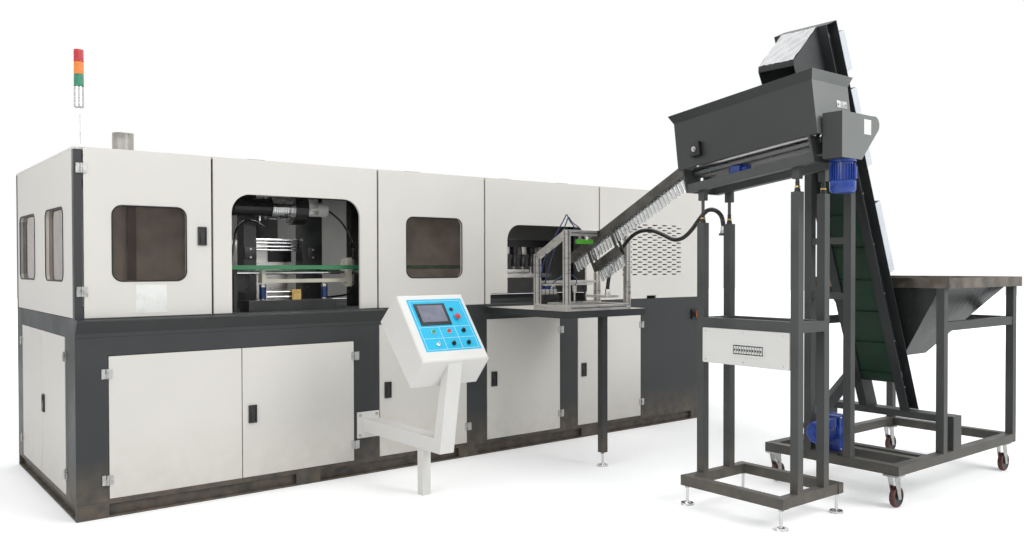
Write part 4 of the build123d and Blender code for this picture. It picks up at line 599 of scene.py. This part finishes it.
closed_loop((
    (low.x, low.z), (notch_left, low.z), (notch_left, notch_top), (notch_right, notch_top),
    (notch_right, low.z), (high.x, low.z), (high.x, high.z), (low.x, high.z),
))
for row in range(slot_rows):
    for column in range(slot_columns):
        x = first_x + slot_pitch * (column + (row % 2) / 2)
        z = first_z + row_pitch * row
        outline = []
        for sign, first_angle in ((1, -90), (-1, 90)):
            middle = x + sign * (slot_length / 2 - slot_radius)
            outline += [(X(middle + slot_radius * c), (z + slot_radius * s) / 1000)
                        for c, s in arc(first_angle, 180, 6)]
        closed_loop(outline)
bmesh.ops.triangle_fill(part, use_beauty=True, edges=part.edges[:], normal=(0, -1, 0))
extrude(part, part.faces[:], (0, high.y - low.y, 0))
slotted = Piece("vent_slot_panel", white)
slotted.take(part, 0)
slotted.done("line", "vent_panel")

door_label = Piece("door_label_plate", label_blank)
door_label.block(at(324, -4.2, 1161), at(497, -2.9, 1324), 0, 0.0004)
door_label.done("upper_door")

# Tower light
tower = Piece("tower_light_stem", steel, black_plastic, chrome, lens_green, lens_amber, lens_red)
tower.lathe(at(45, 60, 2100), to_top,
            shut((0, 0.03), (0.006, 0.03), (0.01, 0.014), (0.016, 0.0095), (0.222, 0.0085)), 2, 28)
tower.lathe(at(45, 60, 2322), to_top,
            ((0, 0), (0, 0.02), (0.008, 0.0275), (0.117, 0.0275), (0.119, 0)), 0, 36)
lens_ribs, rib_pitch = 9, 0.0065
for level, index in ((2441.5, 3), (2510.5, 4), (2579.5, 5)):
    ribs = [(0, 0), (0, 0.0255), (0.003, 0.0275)]
    for k in range(lens_ribs):
        ribs += [(0.006 + rib_pitch * k, 0.0278), (0.009 + rib_pitch * k, 0.0262)]
    ribs += [(0.0655, 0.0275), (0.0685, 0.0255), (0.0685, 0)]
    tower.lathe(at(45, 60, level), to_top, ribs, index, 36)
tower.done("line", "tower_light")

# Console: dividers, screen, lamp and buttons on its sloping face
lean = radians(37.9)
out_face = Vector((0, -cos(lean), sin(lean)))
down_face = Vector((0, -sin(lean), -cos(lean)))
face_corner = at(1845 - 475 / 2, -766, 1255)


def face(across, down, lift=0.0):
    """A point on the console's face, in millimetres from its upper left corner."""
    return face_corner + to_right * (across / 1000) + down_face * (down / 1000) + out_face * (lift / 1000)


def face_matrix(across, down, lift=0.0):
    """A frame on the console's face: X to the right, Y up the face, Z outwards."""
    return axes_at(to_right, -down_face, out_face, face(across, down, lift))


lines = Piece("fascia_lines", line_white, fascia_blue)
half_line = 0.9
for x0, y0, x1, y1 in (
    (66, 244, 434, 244), (66, 324, 434, 324), (204, 244, 204, 404), (316, 244, 316, 404),
    (66, 404, 434, 404), (66, 52, 434, 52), (66, 52, 66, 404), (434, 52, 434, 404),
):
    half_x = max((x1 - x0) / 2, half_line) / 1000
    half_y = max((y1 - y0) / 2, half_line) / 1000
    matrix = face_matrix((x0 + x1) / 2, (y0 + y1) / 2)
    lines.block((-half_x, -half_y, 0), (half_x, half_y, 0.0004), 0, 0, matrix)
lines.done("line")

display = Piece("operator_screen", black_plastic, screen, chrome)
frame_matrix = face_matrix(197, 152)
display.block((-0.11, -0.079, 0), (0.11, 0.079, 0.0045), 0, 0.003, frame_matrix)
display.block((-0.09, -0.056, 0.004), (0.09, 0.066, 0.0049), 1, 0, frame_matrix)
display.done("line", "touch_screen")

lamp = Piece("indicator_lamp", black_plastic, chrome)
lamp.lathe(face(345, 120), out_face,
           ((0, 0), (0, 0.013), (0.004, 0.013), (0.006, 0.01), (0.009, 0.009), (0.011, 0)), 0, 28)
lamp.done("line")

for name, across, down, material in (("start_button", 150, 280, green), ("stop_button", 261, 280, red)):
    button = Piece(name + "_cap", material)
    button.lathe(face(across, down, 3.5), out_face,
                 ((0, 0), (0, 0.0128), (0.007, 0.0128), (0.008, 0.0116), (0.0072, 0.006), (0.007, 0)))
    button.done(name, name)
    ring = Piece(name + "_collar", chrome)
    ring.lathe(face(across, down), out_face,
               ((0.0002, 0.0172), (0.005, 0.0172), (0.0072, 0.0158), (0.0072, 0.0138), (0.0002, 0.0134)))
    ring.done("line")
mushroom = Piece("e_stop_cap", red)
mushroom.lathe(face(362, 180, 3.5), out_face,
               ((0, 0), (0, 0.0108), (0.0078, 0.0108), (0.0082, 0.019), (0.0125, 0.02),
                (0.0158, 0.017), (0.0172, 0.01), (0.0175, 0)), 0, 40)
mushroom.done("e_stop_button", "e_stop_button")
for name, across, down in (("key_switch", 150, 369), ("selector_switch_1", 370, 280),
                           ("selector_switch_2", 261, 369), ("selector_switch_3", 370, 369)):
    is_key = name == "key_switch"
    index = 1 if is_key else 0
    half_grip = 0.0018 if is_key else 0.0038
    knob = Piece(name + "_knob", black_plastic, chrome, line_white)
    knob.lathe(face(across, down, 0.3), out_face,
               shut((0, 0.0138), (0.006, 0.0138), (0.0078, 0.012)), index)
    matrix = face_matrix(across, down, 0.3)
    knob.block((-half_grip, -0.0116, 0.0076), (half_grip, 0.0116, 0.0215), index, 0.0012, matrix)
    if not is_key:
        knob.block((-0.0006, 0.004, 0.0214), (0.0006, 0.0108, 0.0217), 2, 0, matrix)
    knob.done(name, name)

bolts = Piece("arm_flange_bolts", zinc)
for dx in (-64, 64):
    for dz in (-68, 68):
        bolts.bolt(at(1831 + dx, -12.0, 343 + dz), to_front, 0.009)
bolts.done("line")

# Isolator knob
grip = Piece("isolator_grip", orange, black_plastic)
centre = at(5266, -22.1, 978)
grip.lathe(centre, to_front, ((0, 0), (0, 0.0298), (0.008, 0.0298), (0.0118, 0.0268), (0.012, 0)), 1, 36)
grip.block((-0.0092, -0.0298, -0.0278), (0.0092, -0.0112, 0.0278), 0, 0.003, Matrix.Translation(centre))
grip.done("isolator", "isolator_handle")

# Preforms in two rows: a tapering clear body, the neck ring and a threaded neck
slope = radians(27.4)
chute_run = Vector((0, cos(slope), -sin(slope)))
chute_up = Vector((0, sin(slope), cos(slope)))
chute_head = at(3190, -1709, 2095)
preform_pitch = 33
preforms = Piece("hanging_preforms", preform_clear)
profile = (
    (-0.0915, 0), (-0.0905, 0.005), (-0.087, 0.0085), (-0.08, 0.0104), (-0.012, 0.0108), (-0.004, 0.0104),
    (0.0, 0.0105), (0.0, 0.016), (0.0028, 0.016), (0.0028, 0.0104), (0.006, 0.0104), (0.008, 0.0116),
    (0.01, 0.0104), (0.012, 0.0116), (0.014, 0.0104), (0.0185, 0.0104), (0.0185, 0.0084), (-0.02, 0.008),
)
for start, drop, count in ((24, 60, 38), (824, 235, 8)):
    for k in range(count):
        along_chute = (start + preform_pitch * k) / 1000
        ring_at = chute_head + chute_run * along_chute - chute_up * (drop / 1000)
        preforms.lathe(ring_at, chute_up, profile, 0, 16)
preforms.done("line", "preforms", angle=50)

# Conduit from the sorter's post to the loader's shelf, with a gland at each end
route = [(3344, -1835, 1632), (3344, -1835, 1716), (3344, -1800, 1767), (3344, -1743, 1790),
         (3344, -1684, 1776), (3344, -1548, 1624), (3344, -1440, 1592), (3344, -1335, 1638),
         (3344, -1225, 1676), (3344, -1095, 1668), (3350, -985, 1600), (3362, -880, 1480),
         (3385, -762, 1345), (3385, -762, 1215)]
conduit = pipe("supply_conduit", route, 0.014, conduit_black, "line")
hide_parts("cable_conduit")
glands = Piece("conduit_glands", zinc, black_plastic)
for end in (route[0], route[-1]):
    glands.lathe(at(*end), to_top,
                 shut((0, 0.021), (0.012, 0.021), (0.014, 0.018), (0.04, 0.0175), (0.046, 0.0145)), 0, 24)
glands.done("line")

# Caster wheels: treads and hubs
tread = ((-0.0155, 0.046), (-0.0158, 0.056), (-0.0125, 0.0608), (-0.005, 0.0624), (0.005, 0.0624),
         (0.0125, 0.0608), (0.0158, 0.056), (0.0155, 0.046), (-0.0155, 0.046))
hub = ((-0.013, 0.044), (-0.013, 0.02), (-0.0158, 0.018), (-0.0158, 0.0086), (0.0158, 0.0086),
       (0.0158, 0.018), (0.013, 0.02), (0.013, 0.044), (0.0145, 0.0465), (-0.0145, 0.0465),
       (-0.013, 0.044))
for k, (x, y) in enumerate([(x, y) for x in (3865, 5330) for y in (-2690, -1877)], start=1):
    wheel = Piece(f"caster_tyre_{k}", wheel_tread, zinc, black_plastic)
    wheel.lathe(at(x, y, 62.5), to_back, tread, 0, 48)
    wheel.lathe(at(x, y, 62.5), to_back, hub, 2, 48)
    wheel.done(f"caster_wheel_{k}", f"caster_wheel_{k}")

# Levelling feet get round pads and locknuts
feet = Piece("levelling_pads", chrome, zinc)
stand_x = 3217
foot_spots = [(stand_x + s * 270, y, 104) for s in (-1, 1) for y in (-1880, -2530)]
for x, y, nut_height in foot_spots + [(3251, -849, 88)]:
    feet.lathe(at(x, y, 0.3), to_top,
               shut((0, 0.0385), (0.004, 0.0388), (0.01, 0.03), (0.0145, 0.02), (0.019, 0.012)), 0, 36)
    feet.lathe(at(x, y, nut_height), to_top, steps((0.0118, 0.0155)), 1, 6)
feet.done("line")


# Motors: finned bodies with fan covers, terminal boxes and flanges
def fins(piece, centre, axis, count, low, high, gap=0):
    """Cooling fins round an axis, apart from a gap where they start."""
    for k in range(count):
        angle = 2 * pi * k / count
        if abs(sin(angle / 2)) >= gap:
            matrix = Matrix.Translation(centre) @ Matrix.Rotation(angle, 4, axis)
            piece.block(low, high, 0, 0.0005, matrix)


motor = Piece("sorter_motor", motor_blue, black_plastic, label_blank, zinc)
mx, my, top = 3172, -2750, 1990
motor.lathe(at(mx, my, top), to_floor,
            shut((0, 0.0675), (0.011, 0.0675), (0.013, 0.05), (0.02, 0.05), (0.02, 0.058),
                 (0.108, 0.058), (0.112, 0.064), (0.114, 0.0675), (0.16, 0.067), (0.174, 0.058),
                 (0.178, 0.04)), 0, 48)
fins(motor, at(mx, my, top), "Z", 28, (0.056, -0.0013, -0.106), (0.0662, 0.0013, -0.022), gap=0.38)
motor.block(at(mx + 22, my - 34, top - 94), at(mx + 87.5, my + 34, top - 30), 0, 0.004)
motor.block(at(mx + 20, my - 36, top - 96), at(mx + 88, my + 36, top - 88), 0, 0.002)
motor.lathe(at(mx, my, top - 178.2), to_floor,
            shut((-0.004, 0.036), (0.0004, 0.036), (0.0004, 0.031), (-0.002, 0.029)), 1)
motor.done("line", "drive_motors")
gear = Piece("belt_gearmotor", motor_blue, black_plastic, zinc, slate)
gear_left, gear_right, gear_front, gear_back = 3856, 3966, -2330, -2180
plate_bottom, plate_top, gear_top = 258, 270, 490
gear.block(at(3795, gear_front - 20, plate_bottom), at(gear_right + 30, gear_back + 10, plate_top), 3, 0.001)
gear.block(at(gear_left, gear_front, plate_top), at(gear_right, gear_back, gear_top), 0, 0.01)
axis_y, axis_z = (gear_front + gear_back) / 2, plate_bottom + 136
gear_middle = at(gear_left, axis_y, axis_z)
gear.lathe(gear_middle, to_left,
           ((0, 0), (0, 0.07), (0.01, 0.07), (0.012, 0.056), (0.018, 0.056), (0.018, 0.062),
            (0.104, 0.062), (0.106, 0.0715), (0.14, 0.07), (0.149, 0.058), (0.1498, 0)), 0, 48)
fins(gear, gear_middle, "X", 26, (-0.1, -0.0013, 0.06), (-0.02, 0.0013, 0.07))
gear.block(gear_middle - Vector((0.096, 0.07, -0.03)), gear_middle - Vector((0.03, 0.036, -0.086)), 0, 0.004)
shaft_x = gear_left + 55
gear.lathe(at(shaft_x, gear_back, axis_z), to_back, steps((0.006, 0.03), (0.076, 0.0145)), 2, 28)
for dx in (12, 98):
    for dz in (282, 478):
        gear.bolt(at(gear_left + dx, gear_front, dz), to_front, 0.006, 2)
gear.done("line")


def on_belt(up, across, y):
    """A point on the leaning belt unit, up along it and across it from its foot."""
    spot = foot_point + rise * (up / 1000) + over * (across / 1000)
    return Vector((spot.x, Y(y), spot.z))


chain = Piece("chain_guard", slate)
guard_front, guard_depth, guard_radius = -2104, 0.04, 0.043
start = at(shaft_x, guard_front, axis_z)
end = on_belt(223, 60, guard_front)
run = (end - start).normalized()
normal = Vector((-run.z, 0, run.x))
outline = []
for middle, first_angle in ((end, -90), (start, 90)):
    outline += [middle + (run * c + normal * s) * guard_radius for c, s in arc(first_angle, 180, 12)]
chain.prism(outline, (0, guard_depth, 0), 0, 0.002)
chain.done("line")

# Bearings, boxes, plates and fasteners of the sorter and its stand
fine = Piece("sorter_fittings", zinc, black_plastic, steel, motor_blue, label_blank)
tilt = radians(7)
trough_up = Vector((0, sin(tilt), cos(tilt)))
trough_run = Vector((0, -cos(tilt), sin(tilt)))
trough_base = at(3190, -2224, 2067.5)


def on_trough(across, uphill, lift):
    """A point in the tilted trough's own directions from the middle of its base."""
    shift = trough_run * (uphill / 1000) + trough_up * (lift / 1000)
    return trough_base + to_right * (across / 1000) + shift


roller_lift = -14
for across in (-53, 53):
    for uphill, sign in ((-450, -1), (430, 1)):
        fine.lathe(on_trough(across, uphill, roller_lift), trough_run * sign,
                   ((0, 0.013), (0, 0.03), (0.009, 0.03), (0.012, 0.024), (0.012, 0.013)))
        for bolt_lift in (-35.2, 35.2):
            fine.bolt(on_trough(across, uphill, roller_lift + bolt_lift), trough_run * sign, 0.005, 2)
box_matrix = axes_at(to_right, trough_run, trough_up, on_trough(-175, -318, 96))
fine.block((-0.03, -0.036, -0.042), (0, 0.036, 0.042), 1, 0.003, box_matrix)
fine.lathe(box_matrix @ Vector((-0.03, 0, 0)), to_left, steps((0.006, 0.016), (0.016, 0.008)), 0, 24)
plate_matrix = axes_at(to_right, trough_run, trough_up, on_trough(92, 478.5, 182))
fine.block((-0.05, 0, -0.02), (0.05, 0.0025, 0.02), 0, 0.0006, plate_matrix)
for bolt_x in (-38, 38):
    fine.bolt(on_trough(92 + bolt_x, 481, 182), trough_run, 0.005, 2)
fine.block(at(3262, -2820.2, 2128), at(3332, -2818.8, 2208), 4, 0.0003)
fine.done("line")
small = Piece("sorter_lift_motor", motor_blue, zinc, black_plastic)
small.lathe(on_trough(-60, -170, -66), trough_run,
            shut((0, 0.03), (0.01, 0.034), (0.08, 0.034), (0.084, 0.026), (0.12, 0.026)))
half_depth = Vector((0, 0.03, 0))
small.block(on_trough(-100, -120, -92) - half_depth, on_trough(-20, -120, -40) + half_depth, 0, 0.004)
small.done("line")
studs = Piece("stand_studs", black_plastic, brass)
for x in (stand_x - 127, stand_x + 127):
    for y, post_top in ((-1880, 1688), (-2530, 1832)):
        studs.lathe(at(x, y, post_top), to_top, steps((0.003, 0.02), (0.019, 0.016), (0.06, 0.0115)), 0, 24)
        studs.lathe(at(x, y, post_top + 24), to_top, steps((0.008, 0.0165)), 1, 6)
studs.done("line")

# Window of the electrical box with its row of breakers, and the box's screws
panel = Piece("breaker_window", black_plastic, steel, label_blank, console_coat)
box_left = stand_x - 127 - 25 - 12
panel.block(at(box_left - 3.0, -2350, 905), at(box_left + 1, -2122, 980), 3, 0.0012)
panel.block(at(box_left - 3.6, -2338, 916), at(box_left - 2, -2134, 969), 0, 0.0004)
for k in range(11):
    y = -2334 + 18 * k
    panel.block(at(box_left - 5.6, y, 922), at(box_left - 3.4, y + 14, 963), 2, 0.0006)
    panel.block(at(box_left - 9.4, y + 4, 936), at(box_left - 5.4, y + 10, 948), 0, 0.0006)
for y in (-2470, -2200, -1930):
    for z in (870, 1040):
        panel.lathe(at(box_left, y, z), to_left, ((0, 0), (0, 0.0045), (0.002, 0.004), (0.0024, 0)), 1, 16)
panel.done("line")

# Loader fittings: slots in the profile as flat strips of painted shade, manifold, green unit, plates and
# blue air tubes
# The slots are flat darker strips on the profile's faces: painted shade
slots = Piece("profile_slots", slot_shade)
half_profile = 0.02


def slot_lines(start, end, *faces):
    """A flat strip of painted shade for the slot of a profile along a run, on each of the faces named."""
    start, end = at(*start), at(*end)
    run = (end - start).normalized()
    length = (end - start).length
    for normal in faces:
        matrix = axes_at(run.cross(normal), run, normal, start + normal * half_profile)
        slots.block((-0.0042, 0.004, -0.0006), (0.0042, length - 0.004, 0.0009), 0, 0, matrix)


for x, y, top in ((2880, -880, 1675), (2880, -570, 1511), (3467, -880, 1646), (3467, -570, 1378)):
    slot_lines((x, y, 1160), (x, y, top), to_right, to_left, to_front, to_back)
slot_lines((2902, -880, 1655), (3150, -880, 1655), to_front, to_top, to_floor)
for y in (-880, -570):
    slot_lines((2902, y, 1138), (3445, y, 1138), to_front, to_top)
slots.done("line")
loader = Piece("loader_fittings", green_unit, steel, black_plastic, aluminium, motor_blue, label_blank)
loader.block(at(2973, -899, 1580), at(3115, -861, 1612), 0, 0.008)
loader.block(at(2990, -886, 1608), at(3010, -872, 1636), 1, 0.001)
loader.block(at(3085, -886, 1608), at(3105, -872, 1636), 1, 0.001)
loader.block(at(2902, -600, 1160), at(3060, -545, 1225), 2, 0.004)
for k in range(4):
    x = 2922 + 36 * k
    loader.block(at(x - 14, -590, 1225), at(x + 14, -555, 1262), 3, 0.003)
    loader.lathe(at(x, -572, 1262), to_top, shut((0, 0.008), (0.014, 0.008), (0.018, 0.005)), 4, 20)
for k in range(5):
    loader.lathe(at(2930 + 105 * k, -560, 1300), to_floor,
                 shut((0, 0.016), (0.06, 0.016), (0.064, 0.007), (0.13, 0.007)), 2 + k % 2, 24)
loader.block(at(2900, -640, 1290), at(3350, -600, 1300), 3, 0.001)
loader.block(at(2905, -700, 1160), at(3340, -650, 1172), 1, 0.001)
loader.done("line")
for k, points in enumerate((
    ((2905, -572, 1262), (2890, -600, 1450), (2880, -760, 1640), (2875, -860, 1745), (2885, -875, 1790),
     (2905, -878, 1740), (2960, -880, 1690), (2985, -880, 1640)),
    ((2940, -572, 1262), (2935, -610, 1380), (2915, -720, 1560), (2895, -850, 1700), (2905, -870, 1775),
     (2925, -876, 1730), (3010, -880, 1688), (3040, -880, 1650)),
    ((2976, -572, 1262), (2990, -640, 1330), (3060, -700, 1380), (3140, -720, 1330), (3180, -640, 1290)),
), start=1):
    pipe(f"air_tube_{k}", points, 0.004, tube_blue, "line")

# Film round the elevator's spout: a wavy sheet over the top, a flat cheek and a dark lip
wrap = Piece("spout_wrap", film, inner_dark, label_blank)
lip = at(3245, 0, 2598)
top_end = on_belt(2552, 0, 0)
film_normal = Vector((-sin(radians(43)), 0, cos(radians(43))))
film_rows, film_columns = 24, 12
part = bmesh.new()
grid = []
for i in range(film_rows + 1):
    t = i / film_rows
    base = lip.lerp(Vector((top_end.x, 0, top_end.z)), t * 0.985)
    row = []
    for j in range(film_columns + 1):
        s = j / film_columns
        wave = 0.0022 * sin(17 * t + 5 * s) * cos(11 * s + 3 * t)
        wave += 0.0018 * sin(31 * s + 9 * t)
        point = Vector((base.x, Y(-2400 + 234 * s), base.z))
        row.append(part.verts.new(point + film_normal * (0.0035 + wave)))
    grid.append(row)
for a, b in zip(grid, grid[1:]):
    for j in range(film_columns):
        part.faces.new((a[j], a[j + 1], b[j + 1], b[j]))
wrap.take(part, 0)
cheek_y = -2399.2
cheek = [at(3247, cheek_y, 2596), Vector((top_end.x, Y(cheek_y), top_end.z - 0.006)),
         on_belt(2310, -4, cheek_y), at(3516, cheek_y, 2492), at(3286, cheek_y, 2492),
         at(3247, cheek_y, 2567)]
wrap.prism(cheek, (0, -0.0015, 0), 0, 0.0004)
wrap.block(at(3243.5, -2402, 2566), at(3247, -2164, 2600), 1, 0.0008)
wrap.done("line")

# Bolts and bearing covers on the elevator's front channel
heads = Piece("elevator_fasteners", zinc)
for up in range(120, 2500, 340):
    for across in (18, 102):
        heads.bolt(on_belt(up, across, -2402.0), to_front, 0.006)
for level in (223, 2470):
    heads.lathe(on_belt(level, 60, -2402.0), to_front,
                ((0, 0.0145), (0, 0.036), (0.01, 0.036), (0.014, 0.026), (0.014, 0.0145)))
heads.done("line")

# Exhaust stub with its rolled edge
duct = Piece("exhaust_stack", foil, sheet_steel)
duct.lathe(at(488, 900, 2030), to_top,
           ((0, 0.0675), (0.286, 0.0675), (0.2895, 0.069), (0.292, 0.0675), (0.2915, 0.065),
            (0, 0.065), (0, 0.0675)), 1, 48)
duct.done("line", "exhaust_stub")

# Press fittings seen through the blow station's opening
press = Piece("press_fittings", cream, black_plastic, chrome, aluminium, steel, tube_blue, orange, foil, red,
              dark_machine)
drive_y, drive_z = 400, 1830
for k in range(9):
    press.lathe(at(1300 + 13.5 * k, drive_y, drive_z), to_right,
                ((0, 0.0755), (0.004, 0.0775), (0.008, 0.0755), (0, 0.0755)), 7, 40)
for x, radius in ((1425.5, 0.0885), (1444.4, 0.1128), (1545.2, 0.052)):
    press.lathe(at(x, drive_y, drive_z), to_right, steps((0.0012, radius)), 4, 40)
for k in range(8):
    a = pi * k / 4 + 0.3
    rim_point = at(1425, drive_y + 80 * cos(a), drive_z + 80 * sin(a))
    press.bolt(rim_point, to_left, 0.005, 4)
press.lathe(at(1045, drive_y, drive_z), to_left, shut((0, 0.05), (0.012, 0.046)), 1, 36)
press.block(at(1560, 352, 1790), at(1640, 376, 1900), 3, 0.004)
press.block(at(1478, 286, 1905), at(1506, 291, 1925), 8, 0.002)
press.block(at(1962, 480, 1137), at(2034, 552, 1944), 9, 0.003)
for dz in (1545, 1570, 1595, 1616):
    press.lathe(at(1242, 560, dz), to_right, steps((0.33, 0.008)), 2, 20)
for x in (1195, 1655):
    press.block(at(x - 42, 470, 1480), at(x + 42, 480, 1560), 9, 0.003)
    for dz in (1492, 1548):
        press.bolt(at(x, 470, dz), to_front, 0.007, 4)
for k in range(16):
    shift = 4 * (k % 2)
    press.block(at(932 + shift, 300, 1206 + 15 * k), at(956 + shift, 340, 1218 + 15 * k), 6, 0.002)
press.block(at(960, 300, 1260), at(1120, 330, 1420), 1, 0.004)
press.block(at(1411, 690, 1462), at(1588, 699, 1628), 1, 0.006)
for k in range(5):
    press.lathe(at(1430 + 32 * k, 668, 1545), to_back, steps((0.022, 0.01)), 4, 20)
press.block(at(1777, 250, 1292), at(1868, 292, 1480), 0, 0.016)
press.lathe(at(1822, 250, 1390), to_front, shut((0, 0.034), (0.01, 0.034), (0.012, 0.022)), 4)
for dx in (-32, 32):
    for dz in (1312, 1462):
        press.bolt(at(1822 + dx, 250, dz), to_front, 0.007, 4)
for x in (1184, 1628):
    for z, radius, length, index in ((1214, 0.0225, 0.078, 5), (1292, 0.024, 0.014, 4)):
        sleeve = ((0, 0.0215), (0, radius), (length, radius), (length, 0.0215))
        press.lathe(at(x, 240, z), to_top, sleeve, index)
press.done("line")
for k, points in enumerate((
    ((1000, 330, 1420), (1010, 300, 1560), (1060, 380, 1700), (1180, 420, 1760), (1290, 460, 1700)),
    ((1900, 330, 1560), (1885, 330, 1380), (1900, 330, 1230), (1760, 330, 1215), (1672, 330, 1212)),
    ((1900, 345, 1600), (1860, 345, 1700), (1790, 380, 1790), (1724, 400, 1835)),
), start=1):
    pipe(f"press_tube_{k}", points, 0.007, conduit_black, "line")

# Holders and blanks on the feed rail behind the infeed opening
feed = Piece("feed_fittings", black_plastic, aluminium, steel, tube_blue)
for k in range(8):
    x = 3120 + 92 * k
    feed.block(at(x - 24, 436, 1528), at(x + 24, 494, 1590), k % 2, 0.003)
    feed.lathe(at(x, 465, 1424), to_top,
               shut((0, 0.02), (0.004, 0.024), (0.06, 0.025), (0.084, 0.014), (0.104, 0.014)), 0, 24)
    feed.lathe(at(x, 465, 1366), to_top, steps((0.058, 0.007)), 2, 16)
feed.block(at(3160, 424, 1372), at(3620, 430, 1400), 1, 0.001)
feed.done("line")

# Stage: a pale floor that turns white with distance, and soft studio light
half_floor = 40
corners = [(x * half_floor, y * half_floor, 0) for x, y in ((-1, -1), (1, -1), (1, 1), (-1, 1))]
floor_mesh = bpy.data.meshes.new("floor")
floor_mesh.from_pydata(corners, [], [(0, 1, 2, 3)])
floor = add_object("floor", floor_mesh)
material, tree, shader, place = new_material("studio_floor")
set_inputs(shader, {"Roughness": 0.9, "Emission Color": (1, 1, 1, 1)})
patches = ramp(tree, noise(tree, place, 0.4, 2.0), 0.3, 0.7, 0, 1)
tone = blend_colour(tree, patches, (0.84, 0.84, 0.84), (0.86, 0.86, 0.86))
tree.links.new(tone, shader.inputs["Base Color"])
rays = add_node(tree, "LightPath")
reach = add_node(tree, "VectorMath")
reach.operation = "LENGTH"
tree.links.new(place, reach.inputs[0])
whiter = ramp(tree, reach.outputs["Value"], 4.5, 14.0, 0.24, 1.0)
whiter = combine(tree, "MULTIPLY", rays.outputs["Is Camera Ray"], whiter)
tree.links.new(whiter, shader.inputs["Emission Strength"])
floor_mesh.materials.append(material)


def background(tree, colour, strength):
    node = add_node(tree, "Background")
    set_inputs(node, {"Color": (*colour, 1), "Strength": strength})
    return node.outputs[0]


world = bpy.data.worlds.new("studio")
scene.world = world
world.use_nodes = True
tree = world.node_tree
tree.nodes.clear()
out = add_node(tree, "OutputWorld")
mix = add_node(tree, "MixShader")
rays = add_node(tree, "LightPath")
shown = combine(tree, "MAXIMUM", rays.outputs["Is Camera Ray"], rays.outputs["Is Glossy Ray"])
shown = combine(tree, "MAXIMUM", shown, rays.outputs["Is Transmission Ray"])
tree.links.new(shown, mix.inputs[0])
tree.links.new(background(tree, (0.96, 0.98, 1.0), 0.58), mix.inputs[1])
tree.links.new(background(tree, (1, 1, 1), 1.0), mix.inputs[2])
tree.links.new(mix.outputs[0], out.inputs[0])


def lamp_area(name, place, target, size, power):
    """A soft lamp that looks at its target and isn't seen itself."""
    data = bpy.data.lights.new(name, "AREA")
    data.shape = "RECTANGLE"
    data.size, data.size_y = size
    data.energy = power
    lamp = add_object(name, data)
    lamp.location = place
    lamp.rotation_euler = (Vector(target) - Vector(place)).to_track_quat("-Z", "Y").to_euler()
    lamp.visible_camera = False


lamp_area("key", (2.8, -8.0, 6.0), (0, 0, 0.9), (5, 4), 470)
lamp_area("fill", (-7.0, -2.5, 4.5), (-0.8, 0, 1.2), (4, 4), 150)
lamp_area("top", (0, 1.0, 7.5), (0, 0.5, 0), (7, 6), 220)
lamp_area("back", (0, 8.0, 4.5), (0, 0, 1.0), (8, 3), 160)
for name, x in (("inside_left", 450), ("inside_press", 1330), ("inside_window", 2400),
                ("inside_feed", 3440)):
    lamp_area(name, at(x, 700, 1925), at(x, 900, 1140), (0.5, 0.3), 5.0)

scene.view_settings.view_transform = "Standard"
bpy.context.view_layer.update()
